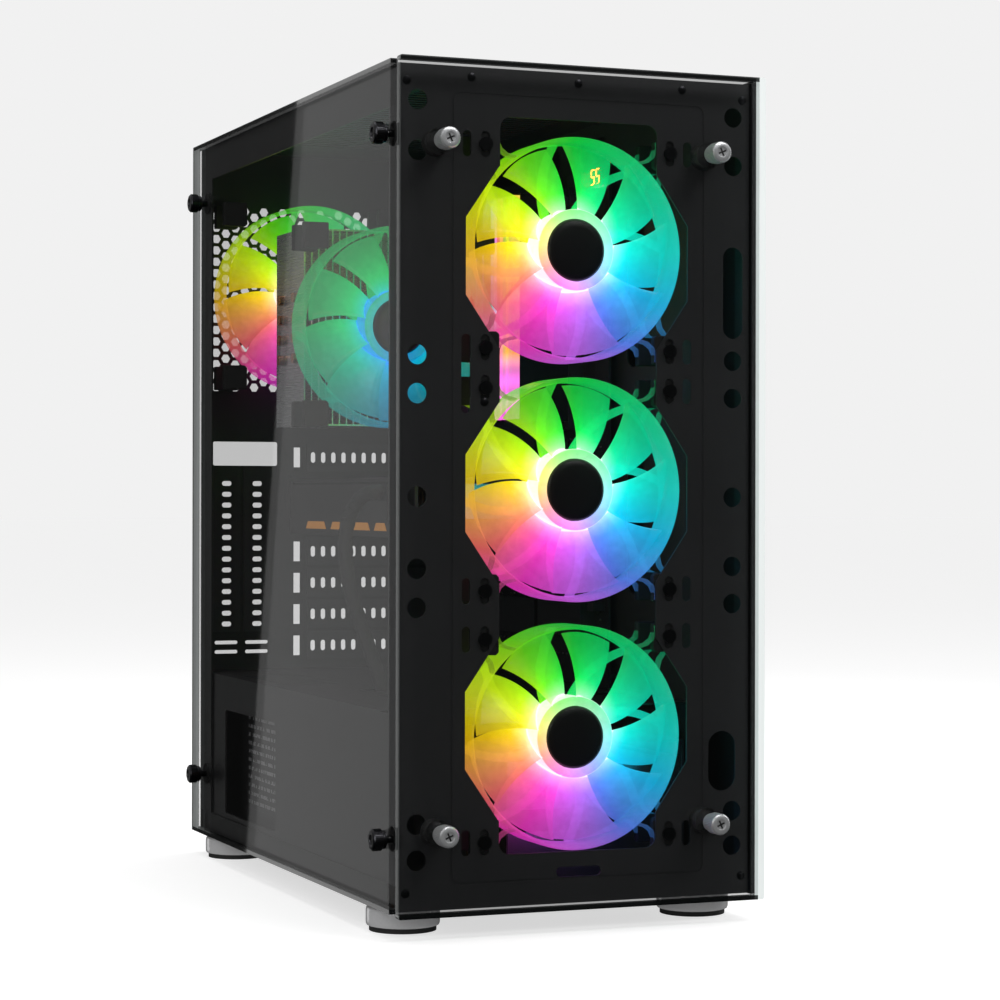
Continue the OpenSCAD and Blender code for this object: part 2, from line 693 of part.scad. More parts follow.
module cooler_fins() color("#b9bdc2") {
    t = 0.8;
    fin_hh = 58;
    gap = (fin_x1 - 22 - fin_x0) / (fin_count - 1);
    difference() {
        union() {
            for (i = [0:fin_count - 1])
                block([fin_x0 + i * gap, fin_y0, socket_z - fin_hh],
                    [fin_x0 + i * gap + t, fin_y0 + fin_d, socket_z + fin_hh]);
            for (z = [-fin_hh, fin_hh - 1])
                block([fin_x0, fin_y0, socket_z + z], [fin_x1 - 22, fin_y0 + 12, socket_z + z + 1]);
        }
        pipes(fin_x0 - 1, fin_x1, 3);
    }
}

module cooler_base() color("#c8763f") {
    difference() {
        block([board_x - 16, socket_y - 21, socket_z - 24], [board_x - 4.4, socket_y + 21, socket_z + 24]);
        pipes(board_x - 17, board_x - 9, 3 - e);
    }
    pipes(fin_x0 - 3, board_x - 9, 3);
}

module cooler_fan_frame() color("#e8f4f2") {
    along_y(cooler_fan[0], fin_y0 - fan_t, cooler_fan[1]) fan_frame();
}

module rear_fan_frame() color("#e8f4f2") {
    along_y(rear_fan[0], rear_y - fan_t, rear_fan[1]) fan_frame();
}

// ---- front fans and their screws ----

module front_fan_frame_top() color("#e8f4f2") front_fan(front_fans[0]) fan_frame();
module front_fan_frame_middle() color("#e8f4f2") front_fan(front_fans[1]) fan_frame();
module front_fan_frame_bottom() color("#e8f4f2") front_fan(front_fans[2]) fan_frame();
module front_fan_rotor_top() color("#f2f2f2") front_fan(front_fans[0]) fan_rotor();
module front_fan_rotor_middle() color("#f2f2f2") front_fan(front_fans[1]) fan_rotor();
module front_fan_rotor_bottom() color("#f2f2f2") front_fan(front_fans[2]) fan_rotor();
module rear_fan_rotor() color("#f2f2f2")
    along_y(rear_fan[0], rear_y - fan_t, rear_fan[1]) fan_rotor();
module cooler_fan_rotor() color("#f2f2f2")
    along_y(cooler_fan[0], fin_y0 - fan_t, cooler_fan[1]) fan_rotor();

module fan_screws() color("#2a2a2c") {
    for (f = front_fans) along_y(fan_x, plate_y, f) fan_holes() {
        translate([0, 0, -1.8]) cylinder(h = 1.8, r = 3.6);
        cylinder(h = 8, r = 2);
    }
    along_y(rear_fan[0], rear_y + sheet, rear_fan[1]) fan_holes() {
        cylinder(h = 1.8, r = 3.6);
        translate([0, 0, -8]) cylinder(h = 8, r = 2);
    }
}

// ---- graphics card, fans facing down ----

module card_fan_holes(r) {
    for (y = card_fans_y) translate([card_fan_x, y]) circle(r = r, $fn = 96);
}

module graphics_board() color("#17181b") {
    block([card_x + 4, card_y0 + 4, pcb_z], [board_x - 11.2, board_y1 - 2, pcb_z + board_t]);
    block([board_x - 11.2, board_y1 - 137, pcb_z], [board_x - 2.2, board_y1 - 53, pcb_z + board_t]);
    // Power socket at the outer edge
    block([plug[0] + 0.4, plug[1] - 10, pcb_z - 10], [card_x + 10, plug[1] + 10, pcb_z]);
    // Slot bracket with its vent
    sheet_front(rear_y - 1, 1) difference() {
        rect(card_x + 2, board_x - 10, slot_z[4] - 9, slot_z[5] + 9);
        for (x = [card_x + 24:7:board_x - 30]) slot_up(x, slot_z[4] - 0.5, 4, 12);
    }
}

module graphics_heatsink() color("#a9adb3") {
    z0 = card_z0 + 11;
    for (y = [card_y0 + 10:6:board_y1 - 16])
        block([card_x + 12, y, z0], [card_x + 92, y + 1.4, pcb_z - 1.5]);
    block([card_x + 12, card_y0 + 10, pcb_z - 3], [card_x + 92, board_y1 - 14, pcb_z]);
}

module graphics_shroud() color("#222326") {
    z1 = card_z0 + 10;
    difference() {
        sheet_flat(card_z0, z1 - card_z0) difference() {
            round_rect(card_x, card_x + 98, card_y0, board_y1 - 4, 6);
            card_fan_holes(card_fan_r + 1.5);
        }
    }
    // Side walls and the crossbars that carry the fans
    block([card_x, card_y0 + 8, z1], [card_x + 2, plug[1] - 12, pcb_z]);
    block([card_x, plug[1] + 12, z1], [card_x + 2, board_y1 - 12, pcb_z]);
    block([card_x + 94, card_y0 + 8, z1], [card_x + 96, board_y1 - 12, pcb_z]);
    for (y = card_fans_y) difference() {
        union() {
            block([card_x + 1, y - 3, z1 - 2], [card_x + 97, y + 3, z1]);
            translate([card_fan_x, y, z1 - 2]) cylinder(h = 2, r = 13);
        }
        translate([card_fan_x, y, z1 - 3]) cylinder(h = 5, r = shaft_r + run_fit);
    }
}

module graphics_backplate() color("#1d1e21") {
    sheet_flat(pcb_z + board_t, 1.9)
        difference() {
            round_rect(card_x + 1, card_x + 98, card_y0 + 1, board_y1 - 4, 4);
            for (k = [0:5]) slot_across(card_x + 40, card_y0 + 24 + k * 9, 44, 4);
        }
}

module card_fan(y) {
    translate([card_fan_x, y, card_z0 + 0.8]) rotor(card_fan_r, 15, 6.6, 9, 8.5, 30, 2.4);
}
module graphics_fan_front() color("#18191b") card_fan(card_fans_y[0]);
module graphics_fan_rear() color("#18191b") card_fan(card_fans_y[1]);

// ---- card cable: a smooth curve through the route's points ----

function curve(p, i, t) = let (a = p[max(i - 1, 0)], b = p[i], c = p[i + 1], d = p[min(i + 2, len(p) - 1)])
    0.5 * (2 * b + (c - a) * t + (2 * a - 5 * b + 4 * c - d) * t * t + (3 * b - a - 3 * c + d) * t * t * t);
function smooth(p, n) = [for (i = [0:len(p) - 2], k = [0:n - 1]) curve(p, i, k / n), p[len(p) - 1]];
function unit(v) = v / norm(v);

module tube(path, r, sides) {
    n = len(path);
    rings = [for (i = [0:n - 1]) let (d = unit(path[min(i + 1, n - 1)] - path[max(i - 1, 0)]),
        u = unit(cross(d, [1, 0.2, 0])), v = cross(d, u))
        for (k = [0:sides - 1]) path[i] + r * (cos(k * 360 / sides) * u + sin(k * 360 / sides) * v)];
    polyhedron(points = rings, faces = concat(
        [[for (k = [0:sides - 1]) k]],
        [for (i = [0:n - 2], k = [0:sides - 1])
            let (m = (k + 1) % sides)
                [i * sides + k, (i + 1) * sides + k, (i + 1) * sides + m, i * sides + m]],
        [[for (k = [sides - 1:-1:0]) (n - 1) * sides + k]]));
}

module power_cable() color("#1a1a1c") {
    tube(smooth(cable_route, 4), cable_d / 2, 10);
}

// ---- power supply, fan facing down ----

module psu_case() color("#2a2b2e") {
    w = 1;
    x1 = psu_x + psu_w;
    y1 = psu_y + psu_d;
    z1 = psu_z + psu_h;
    difference() {
        block([psu_x, psu_y, psu_z], [x1, y1, z1]);
        block([psu_x + w, psu_y + w, psu_z + w], [x1 - w, y1 - w, z1 - w]);
        translate([psu_fan[0], psu_fan[1], psu_z - 1]) cylinder(h = 3, r = 58, $fn = 96);
        sheet_front(y1 - 2, 3) {
            hex_vent(psu_x + 8, psu_x + 88, psu_z + 8, psu_z + psu_h - 8, 3.6, 8.6);
            rect(psu_x + 102, psu_x + 130, psu_z + 10, psu_z + 31);
            rect(psu_x + 108, psu_x + 124, psu_z + 45, psu_z + 67);
        }
        sheet_front(psu_y - 1, 3) round_rect(psu_x + 14, psu_x + 54, psu_z + 48, psu_z + 76, 6);
    }
    // Wire rings and cross wires over the fan
    translate([psu_fan[0], psu_fan[1], psu_z]) {
        for (r = [14:10:54]) difference() {
            cylinder(h = 1, r = r + 0.8, $fn = 96);
            translate([0, 0, -1]) cylinder(h = 3, r = r - 0.8, $fn = 96);
        }
        for (a = [45, 135]) rotate(a) translate([-59, -0.8, 0]) cube([118, 1.6, 1]);
    }
}

module psu_fittings() color("#111214") {
    y1 = psu_y + psu_d;
    // Mains inlet, open to the back
    difference() {
        block([psu_x + 102, y1 - 24, psu_z + 10], [psu_x + 130, y1, psu_z + 31]);
        block([psu_x + 104, y1 - 20, psu_z + 12], [psu_x + 128, y1 + 1, psu_z + 29]);
    }
    for (x = [-7, 0, 7])
        block([psu_x + 115 + x, y1 - 21, psu_z + 18], [psu_x + 117 + x, y1 - 6, psu_z + 22]);
    // Switch housing
    difference() {
        block([psu_x + 108, y1 - 16, psu_z + 45], [psu_x + 124, y1, psu_z + 67]);
        block([psu_x + 110, y1 - 14, psu_z + 47], [psu_x + 122, y1 + 1, psu_z + 65]);
        translate([psu_x + 100, y1 - 4, psu_z + 56]) rotate([0, 90, 0]) cylinder(h = 30, r = 1.5 + run_fit);
    }
    // Rubber strips that the supply stands on
    for (y = [psu_y + 4, y1 - 12]) block([psu_x + 2, y, floor_z], [psu_x + psu_w - 2, y + 6, psu_z]);
    // Crossbar with the fan's bearing
    difference() {
        union() {
            block([psu_x + 1, psu_fan[1] - 6, psu_z + 22], [psu_x + psu_w - 1, psu_fan[1] + 6, psu_z + 26]);
            translate([psu_fan[0], psu_fan[1], psu_z + 22]) cylinder(h = 4, r = 20);
        }
        translate([psu_fan[0], psu_fan[1], psu_z + 20]) cylinder(h = 8, r = shaft_r + run_fit);
    }
    // Converter block
    block([psu_x + 1, psu_y + 34, psu_z + 34], [psu_x + 60, psu_y + 110, psu_z + 70]);
    block([psu_x + 64, psu_y + 8, psu_z + 34], [psu_x + psu_w - 1, psu_y + 100, psu_z + psu_h - 14]);
}

module psu_fan_rotor() color("#1c1d20") {
    translate([psu_fan[0], psu_fan[1], psu_z + 4]) rotor(56, 20, 16, 9, 20, 32, 5);
}

module psu_switch() color("#c33a2c") {
    y1 = psu_y + psu_d;
    translate([psu_x + 116, y1 - 4, psu_z + 56]) {
        rotate([0, 90, 0]) translate([0, 0, -7.8]) cylinder(h = 15.6, r = 1.5);
        rotate([7, 0, 0]) translate([-5.6, -3, -8.2]) cube([11.2, 6.5, 16.4]);
    }
}

// ---- drives and top sockets ----

module drive_cage() color("#1d1e20") {
    x0 = drive_x - 1.5;
    x1 = drive_x + drive_w + 0.5;
    y0 = in_y + fan_t + 10;
    for (x = [x0, x1]) sheet_side(x, 1) difference() {
        rect(y0, y0 + 130, floor_z, floor_z + 78);
        for (y = [y0 + 20, y0 + 75], z = [floor_z + 12, floor_z + 48]) round_rect(y, y + 40, z, z + 18, 4);
    }
    block([x0, y0, floor_z + 78], [x1 + 1, y0 + 130, floor_z + 79]);
    for (z = drive_z) for (x = [x0 + 1, x1 - 8]) block([x, y0, z - 1.5], [x + 8, y0 + 130, z]);
}

module drives() color("#8d9297") {
    y0 = in_y + fan_t + 12;
    for (z = drive_z) difference() {
        block([drive_x, y0, z], [drive_x + drive_w, y0 + drive_l, z + drive_t]);
        block([drive_x + 6, y0 + 8, z + drive_t - 1.5],
            [drive_x + drive_w - 6, y0 + drive_l - 14, z + drive_t + 1]);
    }
}

module top_io_module() color("#141517") {
    z0 = ceil_z - 14;
    difference() {
        block([power_x - 16, io_y - 10, z0], [jack_x[1] + 10, io_y + 10, ceil_z]);
        for (b = [[power_x, power_r], [reset_x, reset_r]]) translate([b[0], io_y, z0 + 2])
            cylinder(h = 20, r = b[1] + 1 + slide_gap);
        for (x = usb_x)
            block([x - usb_w / 2, io_y - usb_h / 2, z0 + 2], [x + usb_w / 2, io_y + usb_h / 2, ceil_z + 1]);
        for (x = jack_x) translate([x, io_y, z0 + 1]) cylinder(h = 20, r = 1.8);
    }
    for (x = usb_x)
        block([x - usb_w / 2 + 1, io_y - 1, z0 + 2], [x + usb_w / 2 - 1, io_y + 0.8, ceil_z - 1]);
}

module button(x, r) {
    translate([x, io_y, ceil_z - 2.4]) cylinder(h = 2.2, r = r + 1);
    translate([x, io_y, ceil_z - 0.3]) cylinder(h = sheet + 1.6, r = r);
}
module power_button() color("#35383d") button(power_x, power_r);
module reset_button() color("#35383d") button(reset_x, reset_r);

// ---- glass, panels, filters ----

module side_glass() color("#3b4347", 0.35) {
    difference() {
        block([glass_x, side_setback, side_z0], [glass_x + glass_t, side_y1, side_z1]);
        for (p = side_screws) along_minus_x(glass_x + glass_t + 1, p[0], p[1])
            cylinder(h = glass_t + 2, r = bore_r);
    }
}

module front_glass() color("#3b4347", 0.35) {
    difference() {
        sheet_front(0, glass_t) round_rect(-front_w / 2, front_w / 2, foot_h, foot_h + front_h, 1.5);
        for (s = front_screws) along_y(s[0], -1, s[1]) cylinder(h = glass_t + 2, r = bore_r);
    }
}

// A thumbscrew whose shank points along +Z from z = 0, with a cross cut in its head
module thumbscrew(d, h, reach) {
    difference() {
        translate([0, 0, -h]) cylinder(h = h, d = d);
        translate([0, 0, -h + 0.75]) for (a = [0, 90]) rotate(a) cube([4.6, 1.2, 1.6], center = true);
    }
    cylinder(h = reach, r = shank_r);
}

module front_screw(k) color("#c9ccd0")
    along_y(front_screws[k][0], 0, front_screws[k][1])
        thumbscrew(front_screw_d, front_screw_h, plate_y + 5);
module front_screw_top_left() front_screw(0);
module front_screw_top_right() front_screw(1);
module front_screw_low_left() front_screw(2);
module front_screw_low_right() front_screw(3);

module side_screw(k) color("#1a1a1b")
    translate([glass_x, side_screws[k][0], side_screws[k][1]]) rotate([0, 90, 0])
        thumbscrew(side_screw_d, side_screw_h, glass_t + side_pad_t + sheet + 0.1);
module side_screw_top_front() side_screw(0);
module side_screw_top_rear() side_screw(1);
module side_screw_low_front() side_screw(2);
module side_screw_low_rear() side_screw(3);

module right_panel() color("#1b1c1e") {
    xi = hw + slide_gap;
    difference() {
        union() {
            block([right_x - sheet, side_setback, side_z0], [right_x, case_d + fold_t, side_z1]);
            for (z = [side_z0, side_z1 - sheet])
                block([xi, side_setback, z], [right_x - sheet, case_d + fold_t, z + sheet]);
            block([xi, side_setback, side_z0 + sheet],
                [right_x - sheet, side_setback + sheet, side_z1 - sheet]);
            block([hw - 16, case_d, side_z0 + 14], [right_x - sheet, case_d + fold_t, side_z1 - 14]);
        }
        for (s = rear_screws) along_y(s[0], case_d - 1, s[1]) cylinder(h = fold_t + 2, r = bore_r);
    }
}

module right_screw(k) color("#1a1a1b")
    translate([rear_screws[k][0], case_d + fold_t, rear_screws[k][1]]) rotate([90, 0, 0])
        thumbscrew(side_screw_d, rear_screw_h, 10);
module right_screw_top() right_screw(0);
module right_screw_low() right_screw(1);

module top_filter() color("#141414") {
    x = top_filter_hw;
    difference() {
        block([-x, vent_y0 - 6, top_z], [x, vent_y1 + 6, top_z + 1.4]);
        block([-x + 6, vent_y0, top_z + 0.5], [x - 6, vent_y1, top_z + 2]);
    }
}

module base_filter() color("#141414") {
    difference() {
        block([-filter_hw, filter_y0 + 2, filter_z], [filter_hw, rear_y - 2, filter_z + 3]);
        block([-filter_hw + 6, filter_y0 + 8, filter_z + 0.8], [filter_hw - 6, rear_y - 8, filter_z + 4]);
    }
    block([-18, rear_y - 2, filter_z], [18, case_d + 5, filter_z + 3]);
}

module placed() {
    translate([row_dx, row_dy, 0]) children();
}

placed() base_pan();
placed() front_plate();
placed() rear_wall();
placed() top_panel();
placed() board_tray();
placed() psu_cover();
placed() feet();
placed() foot_pads();
placed() glass_standoffs();
placed() slot_covers();
placed() io_shield();
placed() motherboard();
placed() board_heatsinks();
placed() board_sockets();
placed() memory_sticks();
placed() memory_light_bars();
placed() cooler_fins();
placed() cooler_base();
placed() cooler_fan_frame();
placed() rear_fan_frame();
placed() front_fan_frame_top();
placed() front_fan_frame_middle();
placed() front_fan_frame_bottom();
placed() fan_screws();
placed() graphics_board();
placed() graphics_heatsink();
placed() graphics_shroud();
placed() graphics_backplate();
placed() power_cable();
placed() psu_case();
placed() psu_fittings();
placed() drive_cage();
placed() drives();
placed() top_io_module();
placed() front_fan_rotor_top();
placed() front_fan_rotor_middle();
placed() front_fan_rotor_bottom();
placed() rear_fan_rotor();
placed() cooler_fan_rotor();
placed() graphics_fan_front();
placed() graphics_fan_rear();
placed() psu_fan_rotor();
placed() side_glass();
placed() side_screw_top_front();
placed() side_screw_top_rear();
placed() side_screw_low_front();
placed() side_screw_low_rear();
placed() front_glass();
placed() front_screw_top_left();
placed() front_screw_top_right();
placed() front_screw_low_left();
placed() front_screw_low_right();
placed() right_panel();
placed() right_screw_top();
placed() right_screw_low();
placed() top_filter();
placed() base_filter();
placed() power_button();
placed() reset_button();
placed() psu_switch();
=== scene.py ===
"""Desktop computer tower with a glass front and side: fine pieces and finishes over the CAD frame."""

import logging
import math
from dataclasses import dataclass, field
from enum import Enum
from typing import Any

import bmesh
import bpy
from mathutils import Matrix, Vector


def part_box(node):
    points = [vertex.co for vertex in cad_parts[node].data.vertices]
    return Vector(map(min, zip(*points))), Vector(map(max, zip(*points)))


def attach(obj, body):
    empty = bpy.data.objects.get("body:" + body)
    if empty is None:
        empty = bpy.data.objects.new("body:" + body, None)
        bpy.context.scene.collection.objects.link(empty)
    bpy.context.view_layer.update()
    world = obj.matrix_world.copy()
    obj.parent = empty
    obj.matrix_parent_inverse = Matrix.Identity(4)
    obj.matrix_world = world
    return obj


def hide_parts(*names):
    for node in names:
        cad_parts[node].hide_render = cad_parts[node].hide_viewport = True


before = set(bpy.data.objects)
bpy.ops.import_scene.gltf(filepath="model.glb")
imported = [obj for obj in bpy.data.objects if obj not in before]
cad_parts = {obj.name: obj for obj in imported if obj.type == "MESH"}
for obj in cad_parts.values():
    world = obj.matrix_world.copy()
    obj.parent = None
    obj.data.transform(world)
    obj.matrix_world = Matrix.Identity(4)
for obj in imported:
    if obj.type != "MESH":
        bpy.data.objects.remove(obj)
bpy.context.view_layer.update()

LOG = logging.getLogger("tower")
MM = 0.001
Colour = tuple[float, float, float]


def linear(red: float, green: float, blue: float) -> Colour:
    """Turns a display colour of 0 to 255 into the shader's linear one.

    Args:
        red: Red, 0 to 255.
        green: Green, 0 to 255.
        blue: Blue, 0 to 255.

    Returns:
        The linear colour, 0 to 1.
    """
    return tuple(
        c / 3294.6 if c <= 10.31 else ((c / 255 + 0.055) / 1.055) ** 2.4
        for c in (red, green, blue)
    )


# ---- places ----


@dataclass(frozen=True)
class Datum:
    """Millimetres from the middle of the front glass's face and the floor, in the frame's metres."""

    x: float
    y: float

    @classmethod
    def from_glass(cls) -> "Datum":
        """Reads the datum from the front glass."""
        lo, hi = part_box("front_glass")
        return cls((lo.x + hi.x) / 2, lo.y)

    @property
    def matrix(self) -> Matrix:
        """The matrix from the case's millimetres to the frame's metres."""
        return Matrix.Translation((self.x, self.y, 0)) @ Matrix.Scale(MM, 4)

    def at(self, x: float, y: float, z: float) -> Vector:
        """Gives a point of the case in the frame's metres."""
        return self.matrix @ Vector((x, y, z))

    def box(self, node: str) -> tuple[Vector, Vector]:
        """Gives a CAD node's box in the case's millimetres."""
        back = self.matrix.inverted()
        lo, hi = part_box(node)
        return back @ lo, back @ hi


class Facing(Enum):
    """Which way a turned part's own axis points in the case."""

    BACK = (0, 1, 0)
    FRONT = (0, -1, 0)
    LEFT = (-1, 0, 0)

    def at(self, x: float, y: float, z: float) -> Matrix:
        """Gives the matrix that puts an axis through a point and points it this way.

        Args:
            x: Millimetres to the right of the middle.
            y: Millimetres behind the front glass's face.
            z: Millimetres above the floor.

        Returns:
            The matrix in the case's millimetres.
        """
        if self is Facing.BACK:
            turn = Matrix(((1, 0, 0), (0, 0, 1), (0, -1, 0))).to_4x4()
        else:
            turn = Vector((0, 0, 1)).rotation_difference(Vector(self.value)).to_matrix().to_4x4()
        return Matrix.Translation((x, y, z)) @ turn


# ---- shader building ----


class Sock:
    """A shader socket that takes part in arithmetic."""

    def __init__(self, kit: "Kit", link: bpy.types.NodeSocket) -> None:
        self.kit = kit
        self.link = link

    def math(self, operation: str, *others: "Sock | float") -> "Sock":
        """Adds a Math node on this socket and the others.

        Args:
            operation: The Math node's operation.
            others: Its second and third inputs.

        Returns:
            The node's value.
        """
        inputs = dict(enumerate((self, *others)))
        return self.kit.out(self.kit.add("ShaderNodeMath", {"operation": operation}, inputs))

    def flipped(self, operation: str, other: float) -> "Sock":
        """Adds a Math node with a number first and this socket second."""
        inputs = {0: other, 1: self}
        return self.kit.out(self.kit.add("ShaderNodeMath", {"operation": operation}, inputs))

    def __add__(self, other: "Sock | float") -> "Sock":
        """Adds."""
        return self.math("ADD", other)

    __radd__ = __add__

    def __sub__(self, other: "Sock | float") -> "Sock":
        """Subtracts."""
        return self.math("SUBTRACT", other)

    def __rsub__(self, other: float) -> "Sock":
        """Subtracts this from a number."""
        return self.flipped("SUBTRACT", other)

    def __mul__(self, other: "Sock | float") -> "Sock":
        """Multiplies."""
        return self.math("MULTIPLY", other)

    __rmul__ = __mul__

    def __truediv__(self, other: "Sock | float") -> "Sock":
        """Divides."""
        return self.math("DIVIDE", other)

    def __pow__(self, other: float) -> "Sock":
        """Raises to a power."""
        return self.math("POWER", other)

    def __gt__(self, other: "Sock | float") -> "Sock":
        """Gives 1 where this is more."""
        return self.math("GREATER_THAN", other)

    def __lt__(self, other: "Sock | float") -> "Sock":
        """Gives 1 where this is less."""
        return self.math("LESS_THAN", other)

    def ramp(self, low: float, high: float) -> "Sock":
        """Gives 0 at low and 1 at high, with a straight line between and no more beyond."""
        settings = {"clamp": True}
        inputs = {"Value": self, "From Min": low, "From Max": high}
        return self.kit.out(self.kit.add("ShaderNodeMapRange", settings, inputs))


class Kit:
    """A material's node tree, with short ways to fill it."""

    def __init__(self, name: str) -> None:
        """Makes an empty material.

        Args:
            name: The material's name.
        """
        self.material = bpy.data.materials.new(name)
        self.material.use_nodes = True
        self.tree = self.material.node_tree
        self.tree.nodes.clear()

    def add(self, kind: str, settings: dict | None = None, inputs: dict | None = None) -> Any:
        """Adds one node.

        Args:
            kind: The node's type.
            settings: Its settings, and a ramp's stops as (place, colour) under "stops".
            inputs: Values or sockets by an input's name or number.

        Returns:
            The node.
        """
        node = self.tree.nodes.new(kind)
        for key, value in (settings or {}).items():
            if key == "stops":
                elements = node.color_ramp.elements
                while len(elements) < len(value):
                    elements.new(0.5)
                for element, (place, colour) in zip(elements, value):
                    element.position = place
                    element.color = (*colour, 1)
            else:
                setattr(node, key, value)
        for key, value in (inputs or {}).items():
            socket = node.inputs[key]
            if isinstance(value, Sock):
                self.tree.links.new(value.link, socket)
            elif isinstance(value, tuple) and socket.type == "RGBA":
                socket.default_value = (*value, 1)
            else:
                socket.default_value = value
        return node

    def out(self, node: Any, key: int | str = 0) -> Sock:
        """Gives one of a node's outputs as a socket."""
        return Sock(self, node.outputs[key])

    def place(self, centre: Vector | None = None, scale: Colour = (1, 1, 1)) -> Sock:
        """Gives Object coordinates measured from a centre.

        Args:
            centre: The centre in metres.
            scale: A stretch of each direction.

        Returns:
            The vector.
        """
        middle = centre if centre is not None else Vector((0, 0, 0))
        shift = tuple(-c * s for c, s in zip(middle, scale))
        own = self.out(self.add("ShaderNodeTexCoord"), "Object")
        return self.out(self.add("ShaderNodeMapping", None, {"Vector": own, "Location": shift, "Scale": scale}))

    def split(self, vector: Sock) -> tuple[Sock, Sock, Sock]:
        """Splits a vector into its three numbers."""
        node = self.add("ShaderNodeSeparateXYZ", None, {0: vector})
        return self.out(node, 0), self.out(node, 1), self.out(node, 2)

    def noise(self, scale: float, vector: Sock | None = None, detail: float = 2) -> Sock:
        """Gives fractal noise of a number of cells per metre."""
        inputs = {"Vector": vector or self.place(), "Scale": scale, "Detail": detail}
        return self.out(self.add("ShaderNodeTexNoise", None, inputs), "Fac")

    def wave(self, value: Sock, pitch: float) -> Sock:
        """Gives a smooth ripple of 0 to 1 with a pitch in metres."""
        return (value * (2 * math.pi / pitch)).math("SINE") * 0.5 + 0.5

    def mix(self, factor: Sock, low: Colour | Sock, high: Colour | Sock) -> Sock:
        """Blends two colours.

        Args:
            factor: 0 for the first, 1 for the second.
            low: The first colour.
            high: The second colour.

        Returns:
            The colour.
        """
        settings = {"data_type": "RGBA", "clamp_factor": True}
        return self.out(self.add("ShaderNodeMix", settings, {0: factor, 6: low, 7: high}), 2)

    def stops(self, factor: Sock, stops: list[tuple[float, Colour]]) -> Sock:
        """Looks a number up in a row of colours."""
        return self.out(self.add("ShaderNodeValToRGB", {"stops": stops}, {"Fac": factor}))

    def bump(self, height: Sock, depth: float, strength: float = 1.0) -> Sock:
        """Gives a bumped normal.

        Args:
            height: The height, 0 to 1.
            depth: How far the highest point stands, in metres.
            strength: How much of it shows.

        Returns:
            The normal.
        """
        inputs = {"Strength": strength, "Distance": depth, "Height": height}
        return self.out(self.add("ShaderNodeBump", None, inputs))

    def surface(self, **inputs: Any) -> bpy.types.Material:
        """Ends the tree in one surface shader.

        Args:
            inputs: The shader's sockets, with _ for a space in their names.

        Returns:
            The material.
        """
        named = {key.replace("_", " "): value for key, value in inputs.items()}
        shader = self.add("ShaderNodeBsdfPrincipled", None, named)
        self.add("ShaderNodeOutputMaterial", None, {"Surface": self.out(shader)})
        return self.material


# ---- finishes ----


@dataclass(frozen=True)
class PowderCoat:
    """Black powder paint on sheet steel, with its orange peel."""

    name: str = "powder coat"
    tone: float = 0.016
    rough: float = 0.48

    def make(self) -> bpy.types.Material:
        """Builds the material."""
        kit = Kit(self.name)
        grain = kit.noise(2600, detail=3)
        cloud = kit.noise(14, detail=2)
        low = (self.tone * 0.82, self.tone * 0.84, self.tone * 0.88)
        high = (self.tone * 1.25, self.tone * 1.27, self.tone * 1.34)
        return kit.surface(
            Base_Color=kit.mix(cloud, low, high),
            Roughness=self.rough + grain * 0.14 - 0.07,
            Normal=kit.bump(grain, 0.00006),
        )


@dataclass(frozen=True)
class MouldedPlastic:
    """Moulded plastic with a fine spark-eroded grain."""

    name: str
    tone: Colour = (0.02, 0.021, 0.023)
    rough: float = 0.42
    grain: float = 3200

    def make(self) -> bpy.types.Material:
        """Builds the material."""
        kit = Kit(self.name)
        fine = kit.noise(self.grain, detail=2)
        flow = kit.noise(40, detail=1)
        low = tuple(c * 0.85 for c in self.tone)
        high = tuple(min(1.0, c * 1.15) for c in self.tone)
        return kit.surface(
            Base_Color=kit.mix(flow, low, high),
            Roughness=self.rough + fine * 0.12 - 0.06,
            Normal=kit.bump(fine, 0.00003),
        )


class Grain(Enum):
    """Which way a metal was brushed."""

    ALONG_X = (40, 2600, 2600)
    ALONG_Y = (2600, 40, 2600)
    ALONG_Z = (2600, 2600, 40)
    TURNED = (900, 900, 900)


@dataclass(frozen=True)
class BrushedMetal:
    """Bare, plated or anodised metal with its brushing."""

    name: str
    tone: Colour = (0.62, 0.63, 0.65)
    rough: float = 0.3
    grain: Grain = Grain.TURNED
    metal: float = 1.0

    def make(self) -> bpy.types.Material:
        """Builds the material."""
        kit = Kit(self.name)
        lines = kit.noise(1, kit.place(scale=self.grain.value), detail=3)
        patch = kit.noise(24, detail=2)
        low = tuple(c * 0.8 for c in self.tone)
        return kit.surface(
            Base_Color=kit.mix(lines * 0.6 + patch * 0.4, low, self.tone),
            Metallic=self.metal,
            Roughness=self.rough + lines * 0.16 - 0.08,
            Normal=kit.bump(lines, 0.00002),
        )


@dataclass(frozen=True)
class Rubber:
    """Matt black rubber with a little dust."""

    name: str = "pad rubber"

    def make(self) -> bpy.types.Material:
        """Builds the material."""
        kit = Kit(self.name)
        fine = kit.noise(1800, detail=3)
        dust = kit.noise(60, detail=3)
        return kit.surface(
            Base_Color=kit.mix(dust, (0.012, 0.012, 0.012), (0.03, 0.03, 0.03)),
            Roughness=0.78 + fine * 0.15,
            Normal=kit.bump(fine, 0.00008),
        )


